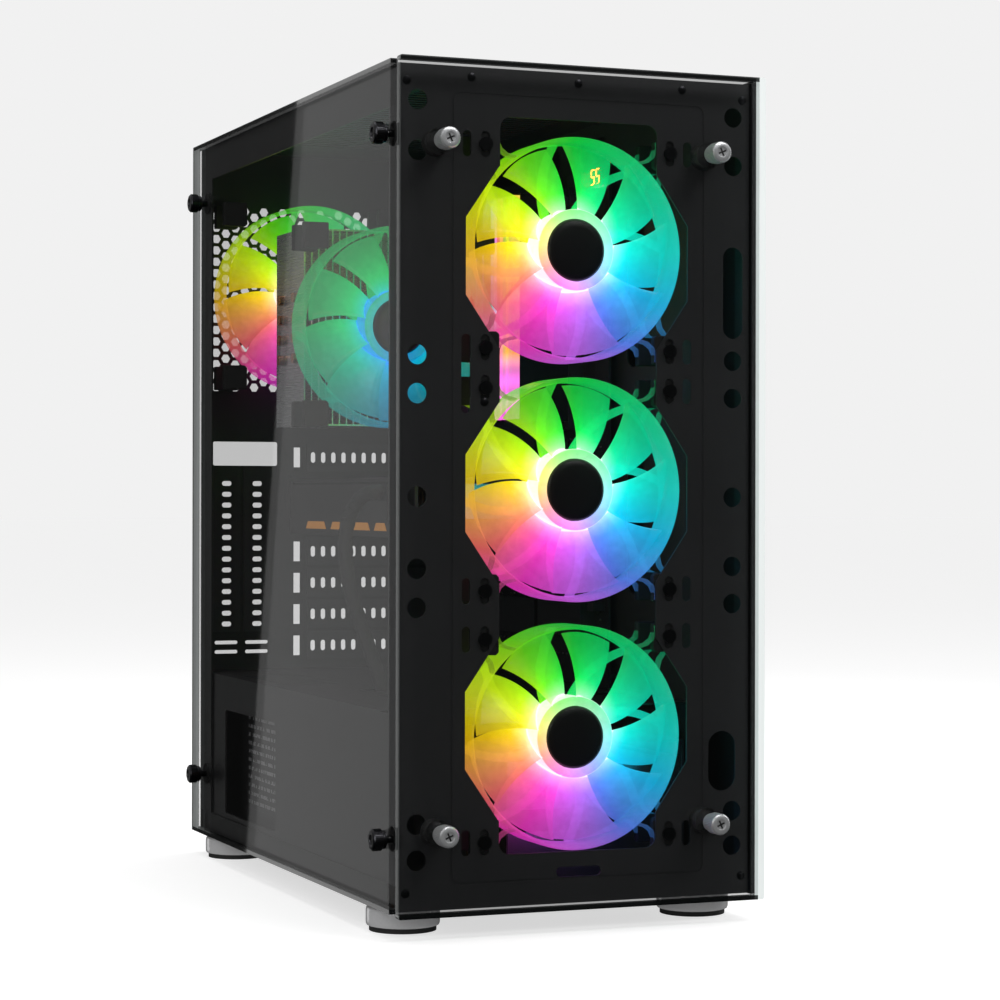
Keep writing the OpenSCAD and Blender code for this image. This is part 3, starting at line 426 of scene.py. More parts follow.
@dataclass(frozen=True)
class TintedGlass:
    """Grey tinted safety glass whose ground edges carry a painted highlight."""

    name: str
    lo: Vector
    hi: Vector
    tint: float
    # right, left, rear and ends: widths in mm of the pale bands that paint a highlight on the ground edges
    right: float = 0.0
    left: float = 0.0
    rear: float = 0.0
    ends: float = 0.9
    border: float = 2.4

    def make(self) -> bpy.types.Material:
        """Builds the material.

        Returns:
            The glass, with a dark border and pale emissive bands of painted highlight as wide as its edge sizes say.
        """
        kit = Kit(self.name)
        x, y, z = kit.split(kit.place())
        cut = (z > self.hi.z - self.border * MM) + (z < self.lo.z + self.border * MM)
        # Painted highlight: pale bands along the ground edges glow and stand in for the light that the edges catch.
        painted_edge_highlight = (z > self.hi.z - self.ends * MM) * 0.06
        if self.right:
            painted_edge_highlight = painted_edge_highlight + (x > self.hi.x - self.right * MM)
        if self.left:
            painted_edge_highlight = painted_edge_highlight + (x < self.lo.x + self.left * MM) * 0.16
        if self.rear:
            cut = cut + (y > self.hi.y - self.border * MM)
            painted_edge_highlight = painted_edge_highlight + (y > self.hi.y - self.rear * MM) * 0.4
        painted_edge_highlight = painted_edge_highlight.math("MINIMUM", 1.0)
        smear = kit.noise(9, detail=3)
        return kit.surface(
            # The bands' pale colour and their emission are the painted edge highlight.
            Base_Color=kit.mix(painted_edge_highlight, (0.004, 0.005, 0.005), (0.82, 0.86, 0.85)),
            Emission_Color=kit.mix(painted_edge_highlight, (0.0, 0.0, 0.0), (0.8, 0.84, 0.83)),
            Emission_Strength=0.35,
            Roughness=0.015 + smear * 0.02 + painted_edge_highlight * 0.22,
            Alpha=((painted_edge_highlight + cut).math("MINIMUM", 1.0)) * (0.95 - self.tint) + self.tint,
            Coat_Weight=1 - painted_edge_highlight,
            Coat_Roughness=0.02,
            IOR=1.5,
        )


WHEEL: list[tuple[float, Colour]] = [
    (0.0, linear(0, 225, 60)),
    (0.09, linear(0, 225, 120)),
    (0.17, linear(0, 230, 170)),
    (0.25, linear(0, 240, 225)),
    (0.33, linear(0, 200, 255)),
    (0.41, linear(90, 130, 255)),
    (0.5, linear(215, 95, 245)),
    (0.58, linear(255, 50, 205)),
    (0.66, linear(255, 110, 110)),
    (0.75, linear(255, 205, 0)),
    (0.83, linear(225, 255, 0)),
    (0.92, linear(110, 240, 0)),
    (1.0, linear(0, 225, 60)),
]


SEA: list[tuple[float, Colour]] = [
    (0.0, linear(0, 190, 90)),
    (0.25, linear(0, 200, 150)),
    (0.5, linear(0, 150, 200)),
    (0.62, linear(0, 180, 150)),
    (0.75, linear(0, 195, 110)),
    (1.0, linear(0, 190, 90)),
]


@dataclass(frozen=True)
class LitPlastic:
    """Clear plastic lit from a hub, with its colours in order round the clock."""

    name: str
    centre: Vector
    alpha: float
    near: float
    far: float
    strength: float
    hot: float = 0.0
    inner: float = 17.0
    outer: float = 57.0
    turn: float = 0.0
    wheel: tuple[tuple[float, Colour], ...] = tuple(WHEEL)
    core: Colour = (1.0, 0.9, 1.0)

    def make(self) -> bpy.types.Material:
        """Builds the material.

        Returns:
            The plastic, brightest at the inner radius and whiter there by the hot share.
        """
        kit = Kit(self.name)
        x, y, z = kit.split(kit.place(self.centre))
        clock = (x.math("ARCTAN2", z) * (0.5 / math.pi) + (1 + self.turn)).math("FRACT")
        radius = (x * x + z * z) ** 0.5
        out = radius.ramp(self.inner * MM, self.outer * MM)
        colour = kit.stops(clock, list(self.wheel))
        if self.hot:
            white = (1 - radius.ramp(self.inner * MM, (self.inner + 15) * MM)) ** 1.5 * self.hot
            rim = radius.ramp(21.1 * MM, 21.5 * MM) * (1 - radius.ramp(21.5 * MM, 22.4 * MM))
            colour = kit.mix((white + rim * 0.5).math("MINIMUM", 1.0), colour, self.core)
        haze = kit.noise(260, detail=2)
        level = ((1 - out) ** 1.7 * (self.near - self.far) + self.far) * (0.85 + haze * 0.3)
        return kit.surface(
            Base_Color=kit.mix(haze, (0.08, 0.085, 0.085), (0.14, 0.145, 0.145)),
            Roughness=0.2 + haze * 0.1,
            Alpha=self.alpha,
            Emission_Color=kit.mix(level, (0.0, 0.0, 0.0), colour),
            Emission_Strength=self.strength,
            Normal=kit.bump(haze, 0.0001),
        )


@dataclass(frozen=True)
class LightBar:
    """A diffuser with lamps of changing colour along its height."""

    name: str
    lo: Vector
    hi: Vector
    strength: float = 2.2

    def make(self) -> bpy.types.Material:
        """Builds the material."""
        kit = Kit(self.name)
        x, y, z = kit.split(kit.place())
        depth = y.ramp(self.lo.y, self.hi.y)
        height = z.ramp(self.lo.z, self.hi.z)
        upper = [
            (0.0, linear(255, 225, 0)),
            (0.33, linear(190, 210, 0)),
            (0.66, linear(255, 120, 90)),
            (1.0, linear(110, 120, 255)),
        ]
        lower = [
            (0.0, linear(255, 150, 0)),
            (0.33, linear(255, 170, 0)),
            (0.66, linear(255, 90, 170)),
            (1.0, linear(0, 180, 190)),
        ]
        sides = kit.mix(height.ramp(0.5, 0.62), kit.stops(depth, lower), kit.stops(depth, upper))
        whole = kit.mix(height.ramp(0.2, 0.3), linear(255, 90, 225), sides)
        spots = kit.wave(z, 0.0127) * 0.35 + 0.65
        return kit.surface(
            Base_Color=kit.mix(spots, (0.5, 0.5, 0.5), (0.7, 0.7, 0.7)),
            Roughness=0.35 + kit.noise(900) * 0.1,
            Emission_Color=kit.mix(spots, (0.0, 0.0, 0.0), whole),
            Emission_Strength=self.strength,
        )


@dataclass(frozen=True)
class Lamp:
    """A small lamp behind a clear window; the card's brass trim also uses it for a painted glow."""

    name: str
    tone: Colour
    strength: float

    def make(self) -> bpy.types.Material:
        """Builds the material."""
        kit = Kit(self.name)
        haze = kit.noise(1500, detail=1)
        dim = tuple(c * 0.7 for c in self.tone)
        return kit.surface(
            Base_Color=kit.mix(haze, dim, self.tone),
            Roughness=0.3 + haze * 0.1,
            Emission_Color=kit.mix(haze, dim, self.tone),
            Emission_Strength=self.strength,
        )


@dataclass(frozen=True)
class BoardMask:
    """Matt black board lacquer over copper tracks."""

    name: str = "board lacquer"

    def make(self) -> bpy.types.Material:
        """Builds the material."""
        kit = Kit(self.name)
        cells = kit.add(
            "ShaderNodeTexVoronoi",
            {"distance": "MANHATTAN"},
            {"Vector": kit.place(), "Scale": 90},
        )
        x, y, z = kit.split(kit.place())
        field_ = kit.out(cells, "Distance")
        tracks = kit.wave(y + field_ * 0.006, 0.0013) > 0.72
        where = kit.noise(28, detail=1) > 0.5
        track = tracks * where
        fine = kit.noise(2400)
        return kit.surface(
            Base_Color=kit.mix(track, (0.011, 0.012, 0.015), (0.022, 0.024, 0.03)),
            Roughness=0.5 - track * 0.12 + fine * 0.08,
            Normal=kit.bump(track, 0.00004),
        )


@dataclass(frozen=True)
class FilterMesh:
    """A fine woven or punched dust screen in a plain rim."""

    name: str
    lo: Vector
    hi: Vector
    rim: float
    pitch: float = 1.6

    def make(self) -> bpy.types.Material:
        """Builds the material."""
        kit = Kit(self.name)
        x, y, z = kit.split(kit.place())
        inside = (
            (x > self.lo.x + self.rim * MM)
            * (x < self.hi.x - self.rim * MM)
            * (y > self.lo.y + self.rim * MM)
            * (y < self.hi.y - self.rim * MM)
        )
        weave = (kit.wave(x, self.pitch * MM) * kit.wave(y, self.pitch * MM)) ** 0.5
        hole = (weave > 0.52) * inside
        fine = kit.noise(2500)
        return kit.surface(
            Base_Color=kit.mix(fine, (0.012, 0.012, 0.013), (0.024, 0.024, 0.026)),
            Roughness=0.5 + fine * 0.15,
            Alpha=1 - hole,
            Normal=kit.bump(weave * inside + fine * 0.2, 0.00015),
        )


@dataclass(frozen=True)
class Braid:
    """Woven nylon sleeve, drawn from the piece's Object coordinates."""

    name: str = "cable sleeve"

    def make(self) -> bpy.types.Material:
        """Builds the material."""
        kit = Kit(self.name)
        x, y, z = kit.split(kit.place())
        one = kit.wave(z + x + y * 0.6, 0.0016)
        two = kit.wave(z - x - y * 0.6, 0.0016)
        weave = one.math("MAXIMUM", two)
        return kit.surface(
            # Painted shade and highlight: the base colour follows the weave, darker in the gaps between strands and
            # paler on their crowns.
            Base_Color=kit.mix(weave, (0.006, 0.006, 0.007), (0.045, 0.046, 0.05)),
            Roughness=0.5 + weave * 0.2,
            Normal=kit.bump(weave, 0.0003),
        )


@dataclass(frozen=True)
class RatingLabel:
    """A dark label with plain grey bars in rows, in place of print."""

    name: str
    lo: Vector
    hi: Vector

    def make(self) -> bpy.types.Material:
        """Builds the material."""
        kit = Kit(self.name)
        x, y, z = kit.split(kit.place())
        row = kit.wave(z, 0.0052) > 0.62
        words = kit.noise(1, kit.place(scale=(1, 330, 192)), detail=0) > 0.46
        margin = (y > self.lo.y + 0.006) * (y < self.hi.y - 0.006)
        margin = margin * (z < self.hi.z - 0.006) * (z > self.lo.z + 0.005)
        bars = row * words * margin
        fine = kit.noise(2000)
        return kit.surface(
            Base_Color=kit.mix(bars, (0.02, 0.02, 0.022), (0.36, 0.36, 0.37)),
            Roughness=0.38 + fine * 0.08,
        )


# ---- mesh building ----


class Shapes:
    """Closed meshes in millimetres, built round the origin with their axis along Z."""

    @staticmethod
    def from_faces(name: str, points: list, faces: list, smooth: bool = False) -> bpy.types.Object:
        """Makes an object from points and faces, with its faces turned outwards.

        Args:
            name: The object's name.
            points: The points in millimetres.
            faces: The faces as lists of point numbers.
            smooth: Whether faces are shaded smooth.

        Returns:
            The object.
        """
        mesh = bpy.data.meshes.new(name)
        mesh.from_pydata([tuple(p) for p in points], [], faces)
        shape = bmesh.new()
        shape.from_mesh(mesh)
        bmesh.ops.recalc_face_normals(shape, faces=shape.faces)
        for face in shape.faces:
            face.smooth = smooth
        shape.to_mesh(mesh)
        shape.free()
        made = bpy.data.objects.new(name, mesh)
        bpy.context.scene.collection.objects.link(made)
        return made

    @staticmethod
    def lathe(
        name: str, profile: list[tuple[float, float]], sides: int = 64, ring: bool = False
    ) -> bpy.types.Object:
        """Turns a profile round Z.

        Args:
            name: The object's name.
            profile: Points as (radius, height).
            sides: How many flats the round has.
            ring: Whether the profile closes on itself. Otherwise it starts and ends at radius 0.

        Returns:
            The object, smooth where the profile turns gently.
        """
        points, rows, faces = [], [], []
        for radius, height in profile:
            if radius < 1e-6:
                rows.append([len(points)] * sides)
                points.append((0, 0, height))
            else:
                rows.append([len(points) + k for k in range(sides)])
                for k in range(sides):
                    turn = 2 * math.pi * k / sides
                    points.append((radius * math.cos(turn), radius * math.sin(turn), height))
        pairs = list(zip(rows, rows[1:])) + ([(rows[-1], rows[0])] if ring else [])
        for low, high in pairs:
            for k in range(sides):
                m = (k + 1) % sides
                corners = [low[k], low[m], high[m], high[k]]
                corners = [c for i, c in enumerate(corners) if c != corners[i - 1]]
                if len(corners) > 2:
                    faces.append(corners)
        made = Shapes.from_faces(name, points, faces, True)
        made.data.set_sharp_from_angle(angle=math.radians(32))
        return made

    @staticmethod
    def block(name: str, lo: tuple, hi: tuple, bevel: float = 0.0, steps: int = 2) -> bpy.types.Object:
        """Makes a box with rounded edges.

        Args:
            name: The object's name.
            lo: Its lowest corner.
            hi: Its highest corner.
            bevel: The edges' radius.
            steps: How many flats an edge has.

        Returns:
            The object.
        """
        points = [(x, y, z) for x in (lo[0], hi[0]) for y in (lo[1], hi[1]) for z in (lo[2], hi[2])]
        faces = [(0, 1, 3, 2), (4, 6, 7, 5), (0, 4, 5, 1), (2, 3, 7, 6), (0, 2, 6, 4), (1, 5, 7, 3)]
        made = Shapes.from_faces(name, points, faces)
        return Shapes.bevelled(made, bevel, steps) if bevel else made

    @staticmethod
    def prism(
        name: str, outline: list[tuple[float, float]], low: float, high: float, bevel: float = 0.0
    ) -> bpy.types.Object:
        """Makes an upright prism on an outline.

        Args:
            name: The object's name.
            outline: The outline's points, in order.
            low: The lower face's height.
            high: The upper face's height.
            bevel: The edges' radius.

        Returns:
            The object.
        """
        n = len(outline)
        points = [(x, y, low) for x, y in outline] + [(x, y, high) for x, y in outline]
        faces = [list(range(n))[::-1], list(range(n, 2 * n))]
        faces += [(k, (k + 1) % n, n + (k + 1) % n, n + k) for k in range(n)]
        made = Shapes.from_faces(name, points, faces)
        return Shapes.bevelled(made, bevel, 2) if bevel else made

    @staticmethod
    def bevelled(made: bpy.types.Object, width: float, steps: int) -> bpy.types.Object:
        """Rounds an object's edges."""
        bevel = made.modifiers.new("Edges", "BEVEL")
        bevel.width = width
        bevel.segments = steps
        bevel.limit_method = "ANGLE"
        bevel.harden_normals = False
        return Shapes.settled(made)

    @staticmethod
    def settled(made: bpy.types.Object) -> bpy.types.Object:
        """Turns an object with modifiers into a plain mesh object.

        Args:
            made: A mesh or curve object.

        Returns:
            The mesh object, without modifiers.
        """
        bpy.context.view_layer.update()
        graph = bpy.context.evaluated_depsgraph_get()
        mesh = bpy.data.meshes.new_from_object(made.evaluated_get(graph), depsgraph=graph)
        plain = bpy.data.objects.new(made.name, mesh)
        bpy.context.scene.collection.objects.link(plain)
        name = made.name
        bpy.data.objects.remove(made)
        plain.name = name
        return plain

    @staticmethod
    def moved(made: bpy.types.Object, matrix: Matrix) -> bpy.types.Object:
        """Moves an object's mesh and leaves the object at the origin."""
        made.data.transform(matrix)
        made.data.update()
        return made

    @staticmethod
    def joined(name: str, parts: list[bpy.types.Object]) -> bpy.types.Object:
        """Puts several objects into one, with their finishes.

        Args:
            name: The new object's name.
            parts: The objects, which are used up.

        Returns:
            The object.
        """
        shape = bmesh.new()
        finishes: list[bpy.types.Material] = []
        for part in parts:
            first = len(shape.faces)
            shape.from_mesh(part.data)
            shape.faces.ensure_lookup_table()
            own = [m for m in part.data.materials]
            for m in own:
                if m not in finishes:
                    finishes.append(m)
            for face in shape.faces[first:]:
                face.material_index = finishes.index(own[face.material_index]) if own else 0
            bpy.data.objects.remove(part)
        mesh = bpy.data.meshes.new(name)
        shape.to_mesh(mesh)
        shape.free()
        for m in finishes:
            mesh.materials.append(m)
        made = bpy.data.objects.new(name, mesh)
        bpy.context.scene.collection.objects.link(made)
        return made


# ---- repeating, with geometry nodes ----


class Pattern:
    """A geometry node tree with named inputs that repeats or sweeps a shape."""

    def __init__(self, name: str, inputs: dict[str, str]) -> None:
        """Makes the tree and its inputs.

        Args:
            name: The tree's name.
            inputs: Each input's name and socket type.
        """
        self.tree = bpy.data.node_groups.new(name, "GeometryNodeTree")
        self.tree.interface.new_socket("Geometry", in_out="INPUT", socket_type="NodeSocketGeometry")
        self.names = {}
        for key, kind in inputs.items():
            item = self.tree.interface.new_socket(key, in_out="INPUT", socket_type=kind)
            self.names[key] = item.identifier
        self.tree.interface.new_socket("Geometry", in_out="OUTPUT", socket_type="NodeSocketGeometry")
        self.given = self.tree.nodes.new("NodeGroupInput")

    def add(self, kind: str, settings: dict | None = None, inputs: dict | None = None) -> Any:
        """Adds a node.

        Args:
            kind: The node's type.
            settings: Its settings.
            inputs: Values or output sockets by an input's name or number.

        Returns:
            The node.
        """
        node = self.tree.nodes.new(kind)
        for key, value in (settings or {}).items():
            setattr(node, key, value)
        for key, value in (inputs or {}).items():
            if isinstance(value, bpy.types.NodeSocket):
                self.tree.links.new(value, node.inputs[key])
            else:
                node.inputs[key].default_value = value
        return node

    def maths(self, operation: str, first: Any, second: Any = 0.0) -> Any:
        """Adds a Math node and gives its output."""
        return self.add("ShaderNodeMath", {"operation": operation}, {0: first, 1: second}).outputs[0]

    def close(self, geometry: Any) -> None:
        """Ends the tree: real meshes in one finish."""
        real = self.add("GeometryNodeRealizeInstances", None, {0: geometry}).outputs[0]
        dressed = self.add(
            "GeometryNodeSetMaterial", None, {"Geometry": real, "Material": self.given.outputs["Finish"]}
        ).outputs[0]
        self.add("NodeGroupOutput", None, {0: dressed})

    def run(self, made: bpy.types.Object, **values: Any) -> bpy.types.Object:
        """Runs the tree on an object.

        Args:
            made: The object whose shape is repeated or swept, which is used up.
            values: The tree's inputs by name, with _ for a space.

        Returns:
            A plain mesh object.
        """
        modifier = made.modifiers.new(self.tree.name, "NODES")
        modifier.node_group = self.tree
        for key, value in values.items():
            modifier[self.names[key.replace("_", " ")]] = value
        return Shapes.settled(made)


class Patterns:
    """The trees that this object's pieces share."""

    def __init__(self) -> None:
        """Builds every tree."""
        self.around = self.make_around()
        self.rows = self.make_rows()
        self.scattered = self.make_scattered()
        self.sweep = self.make_sweep()

    @staticmethod
    def make_around() -> Pattern:
        """Builds the tree that repeats a shape round Z."""
        tree = Pattern(
            "Around an axis",
            {"Count": "NodeSocketInt", "Start": "NodeSocketFloat", "Finish": "NodeSocketMaterial"},
        )
        given = tree.given.outputs
        points = tree.add("GeometryNodePoints", None, {"Count": given["Count"]}).outputs[0]
        step = tree.maths("DIVIDE", 2 * math.pi, given["Count"])
        turn = tree.maths("ADD", tree.maths("MULTIPLY", tree.add("GeometryNodeInputIndex").outputs[0], step), given["Start"])
        euler = tree.add("ShaderNodeCombineXYZ", None, {"Z": turn}).outputs[0]
        spin = tree.add("FunctionNodeEulerToRotation", None, {0: euler}).outputs[0]
        copies = tree.add(
            "GeometryNodeInstanceOnPoints", None, {"Points": points, "Instance": given["Geometry"], "Rotation": spin}
        ).outputs[0]
        tree.close(copies)
        return tree

    @staticmethod
    def make_rows() -> Pattern:
        """Builds the tree that repeats a shape in rows and columns."""
        tree = Pattern(
            "Rows and columns",
            {
                "Across": "NodeSocketInt",
                "Down": "NodeSocketInt",
                "Step": "NodeSocketVector",
                "Drop": "NodeSocketVector",
                "Finish": "NodeSocketMaterial",
            },
        )
        given = tree.given.outputs
        count = tree.maths("MULTIPLY", given["Across"], given["Down"])
        index = tree.add("GeometryNodeInputIndex").outputs[0]
        column = tree.maths("MODULO", index, given["Across"])
        row = tree.maths("FLOOR", tree.maths("DIVIDE", index, given["Across"]))
        along = tree.add("ShaderNodeVectorMath", {"operation": "SCALE"}, {0: given["Step"], "Scale": column}).outputs[0]
        down = tree.add("ShaderNodeVectorMath", {"operation": "SCALE"}, {0: given["Drop"], "Scale": row}).outputs[0]
        place = tree.add("ShaderNodeVectorMath", {"operation": "ADD"}, {0: along, 1: down}).outputs[0]
        points = tree.add("GeometryNodePoints", None, {"Count": count, "Position": place}).outputs[0]
        copies = tree.add(
            "GeometryNodeInstanceOnPoints", None, {"Points": points, "Instance": given["Geometry"]}
        ).outputs[0]
        tree.close(copies)
        return tree

    @staticmethod
    def make_scattered() -> Pattern:
        """Builds the tree that strews a shape on a grid of a flat field, with fixed gaps and turns."""
        tree = Pattern(
            "Strewn parts",
            {
                "Across": "NodeSocketInt",
                "Down": "NodeSocketInt",
                "Pitch": "NodeSocketFloat",
                "Share": "NodeSocketFloat",
                "Seed": "NodeSocketInt",
                "Finish": "NodeSocketMaterial",
            },
        )
        given = tree.given.outputs
        count = tree.maths("MULTIPLY", given["Across"], given["Down"])
        index = tree.add("GeometryNodeInputIndex").outputs[0]
        column = tree.maths("MULTIPLY", tree.maths("MODULO", index, given["Across"]), given["Pitch"])
        row = tree.maths(
            "MULTIPLY", tree.maths("FLOOR", tree.maths("DIVIDE", index, given["Across"])), given["Pitch"]
        )
        place = tree.add("ShaderNodeCombineXYZ", None, {"X": column, "Y": row}).outputs[0]
        points = tree.add("GeometryNodePoints", None, {"Count": count, "Position": place}).outputs[0]
        kept = tree.add(
            "FunctionNodeRandomValue",
            {"data_type": "BOOLEAN"},
            {"Probability": given["Share"], "Seed": given["Seed"]},
        )
        quarter = tree.add(
            "FunctionNodeRandomValue", {"data_type": "INT"}, {4: 0, 5: 1, "Seed": given["Seed"]}
        ).outputs[2]
        turn = tree.maths("MULTIPLY", quarter, math.pi / 2)
        euler = tree.add("ShaderNodeCombineXYZ", None, {"Z": turn}).outputs[0]
        spin = tree.add("FunctionNodeEulerToRotation", None, {0: euler}).outputs[0]
        copies = tree.add(
            "GeometryNodeInstanceOnPoints",
            None,
            {"Points": points, "Selection": kept.outputs[3], "Instance": given["Geometry"], "Rotation": spin},
        ).outputs[0]
        tree.close(copies)
        return tree

    @staticmethod
    def make_sweep() -> Pattern:
        """Builds the tree that sweeps a lobed, twisted section along a curve."""
        tree = Pattern(
            "Twisted sweep",
            {
                "Radius": "NodeSocketFloat",
                "Lobes": "NodeSocketInt",
                "Rings": "NodeSocketInt",
                "Turns": "NodeSocketFloat",
                "Finish": "NodeSocketMaterial",
            },
        )
        given = tree.given.outputs
        smooth = tree.add("GeometryNodeResampleCurve", None, {"Curve": given["Geometry"], "Count": given["Rings"]}).outputs[0]
        along = tree.add("GeometryNodeSplineParameter").outputs["Factor"]
        twist = tree.maths("MULTIPLY", tree.maths("MULTIPLY", along, given["Turns"]), 2 * math.pi)
        tilted = tree.add("GeometryNodeSetCurveTilt", None, {"Curve": smooth, "Tilt": twist}).outputs[0]
        inner = tree.maths("MULTIPLY", given["Radius"], 0.87)
        section = tree.add(
            "GeometryNodeCurveStar",
            None,
            {"Points": given["Lobes"], "Inner Radius": inner, "Outer Radius": given["Radius"]},
        ).outputs[0]
        swept = tree.add(
            "GeometryNodeCurveToMesh", None, {"Curve": tilted, "Profile Curve": section, "Fill Caps": True}
        ).outputs[0]
        tree.close(swept)
        return tree


# ---- the object ----


@dataclass
class Bench:
    """What every sub-assembly needs: places, patterns and finishes."""

    datum: Datum
    patterns: Patterns
    finishes: dict[str, bpy.types.Material]
    made: list[str] = field(default_factory=list)

    def fit(
        self,
        piece: bpy.types.Object,
        body: str,
        slot: str,
        finish: bpy.types.Material | None = None,
        replaces: tuple[str, ...] = (),
        matrix: Matrix | None = None,
    ) -> bpy.types.Object:
        """Puts a finished piece into the frame.

        Args:
            piece: The piece in millimetres.
            body: The body that it moves with.
            slot: The name of its material slot; not used.
            finish: Its finish, if it has none yet.
            replaces: The CAD nodes that it stands for.
            matrix: Its place in the case's millimetres.

        Returns:
            The piece.
        """
        Shapes.moved(piece, self.datum.matrix @ (matrix or Matrix.Identity(4)))
        if finish is not None:
            piece.data.materials.clear()
            piece.data.materials.append(finish)
        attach(piece, body)
        if replaces:
            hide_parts(*replaces)
        self.made.append(piece.name)
        LOG.info("%s rides on %s with %d faces", piece.name, body, len(piece.data.polygons))
        return piece

    def dress(self, node: str, finish: bpy.types.Material) -> None:
        """Gives a CAD node its finish.

        Args:
            node: The node's name.
            finish: The material.
        """
        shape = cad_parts[node]
        if not shape.material_slots:
            shape.data.materials.append(finish)
        for place in shape.material_slots:
            place.material = finish
        LOG.info("%s is finished in %s", node, finish.name)


@dataclass
class CaseFan:
    """A 120 mm fan of clear plastic, lit from its hub."""

    bench: Bench
    name: str
    place: tuple[float, float, float]
    frame_node: str
    rotor_node: str
    strength: float = 3.0
    turn: float = 0.0
    blades: int = 9
    depth: float = 25.0
    ring_inner: float = 56.5
    ring_outer: float = 59.0
    hub: float = 21.5
    cap: float = 16.5
    pitch: float = 105.0
    alpha: float = 0.62
    prongs: bool = True
    wheel: tuple[tuple[float, Colour], ...] = tuple(WHEEL)
    core: Colour = (1.0, 0.9, 1.0)

    @property
    def matrix(self) -> Matrix:
        """The fan's place, with its front towards the front glass."""
        return Facing.BACK.at(*self.place)

    def lit(self, part: str, alpha: float, near: float, far: float, hot: float = 0.0) -> bpy.types.Material:
        """Makes the lit plastic of one part.

        Args:
            part: The part's name.
            alpha: How solid it looks.
            near: Its level beside the hub.
            far: Its level at the tips.
            hot: How white it is beside the hub.

        Returns:
            The material.
        """
        centre = self.bench.datum.at(*self.place)
        return LitPlastic(
            f"{self.name} {part}",
            centre,
            alpha,
            near,
            far,
            self.strength,
            hot,
            turn=self.turn,
            wheel=self.wheel,
            core=self.core,
        ).make()

    def blade(self) -> bpy.types.Object:
        """Shapes one wide sickle blade.

        Returns:
            The blade along +X, closed and thin.
        """
        rows, columns, thick = 12, 7, 1.1
        points, faces = [], []
        for side in (-1, 1):
            for i in range(rows):
                u = i / (rows - 1)
                radius = self.hub - 0.6 + (self.ring_inner - 1.4 - self.hub + 0.6) * u
                middle = -0.2 * u**1.4
                half = 0.345 - 0.035 * u
                for j in range(columns):
                    t = 2 * j / (columns - 1) - 1
                    turn = middle + half * t
                    lift = 8.0 - 1.6 * u
                    height = 10.4 + t * lift + 1.2 * (1 - t * t) + side * thick / 2 * (1 - 0.45 * abs(t))
                    points.append((radius * math.cos(turn), radius * math.sin(turn), height))
        layer = rows * columns

        def at(s: int, i: int, j: int) -> int:
            """Gives a point's number."""
            return s * layer + i * columns + j

        for i in range(rows - 1):
            for j in range(columns - 1):
                faces.append((at(0, i, j), at(0, i, j + 1), at(0, i + 1, j + 1), at(0, i + 1, j)))
                faces.append((at(1, i, j), at(1, i + 1, j), at(1, i + 1, j + 1), at(1, i, j + 1)))
        for i in range(rows - 1):
            for j in (0, columns - 1):
                faces.append((at(0, i, j), at(0, i + 1, j), at(1, i + 1, j), at(1, i, j)))
        for j in range(columns - 1):
            for i in (0, rows - 1):
                faces.append((at(0, i, j), at(0, i, j + 1), at(1, i, j + 1), at(1, i, j)))
        return Shapes.from_faces(f"{self.name}_blade", points, faces, True)

    def build_rotor(self) -> None:
        """Makes the blades, the lit hub ring and the black cap."""
        blades = self.bench.patterns.around.run(
            self.blade(), Count=self.blades, Start=0.2, Finish=self.lit("blades", self.alpha, 1.0, 0.3, 0.5)
        )
        wall = Shapes.lathe(
            f"{self.name}_hub",
            [
                (self.cap + 0.2, 1.9),
                (self.hub - 1.2, 1.9),
                (self.hub, 3.1),
                (self.hub, 18.4),
                (self.hub - 1.0, 19.4),
                (self.cap + 0.2, 19.4),
            ],
            ring=True,
        )
        wall.data.materials.append(self.lit("hub", 1.0, 0.62, 0.62, 0.3))
        whole = Shapes.joined(f"{self.name}_rotor_lit", [blades, wall])
        self.bench.fit(whole, self.rotor_node, "lit_blade", replaces=(self.rotor_node,), matrix=self.matrix)
        cap = Shapes.lathe(
            f"{self.name}_cap",
            [
                (0, 0.9),
                (6, 0.95),
                (12, 1.1),
                (14.6, 1.5),
                (15.9, 2.3),
                (self.cap, 3.4),
                (self.cap, 18.6),
                (0, 18.6),
            ],
        )
        self.bench.fit(cap, self.rotor_node, "shroud_plastic", self.bench.finishes["satin cap"], matrix=self.matrix)

    def prong(self, low: float, side: int) -> bpy.types.Object:
        """Shapes one of the two thin prongs that hold a corner.

        Args:
            low: Where the prong starts along the fan's depth.
            side: 1 or -1, for its side of the diagonal.

        Returns:
            The prong beside the diagonal between +X and +Y.
        """
        outer = [(57.6, 9.6), (62.5, 6.6), (66.5, 6.0), (70.0, 7.4), (72.6, 10.0)]
        inner = [(73.4, 9.0), (70.8, 6.0), (66.9, 4.4), (62.4, 4.8), (57.6, 7.4)]
        outline = []
        for along, across in outer + inner:
            a = across * side
            outline.append(((along - a) * math.sqrt(0.5), (along + a) * math.sqrt(0.5)))
        return Shapes.prism(f"{self.name}_prong", outline, low, low + 4.6, 0.35)

    def strut(self) -> bpy.types.Object:
        """Shapes one curved strut of the back."""
        outline = []
        for side in (-1, 1):
            row = []
            for k in range(9):
                u = k / 8
                radius = 19.5 + 37.6 * u
                turn = 0.4 * u**1.1 + side * 2.4 / radius
                row.append((radius * math.cos(turn), radius * math.sin(turn)))
            outline += row if side < 0 else row[::-1]
        return Shapes.prism(f"{self.name}_strut", outline, self.depth - 3.6, self.depth - 0.4, 0.3)

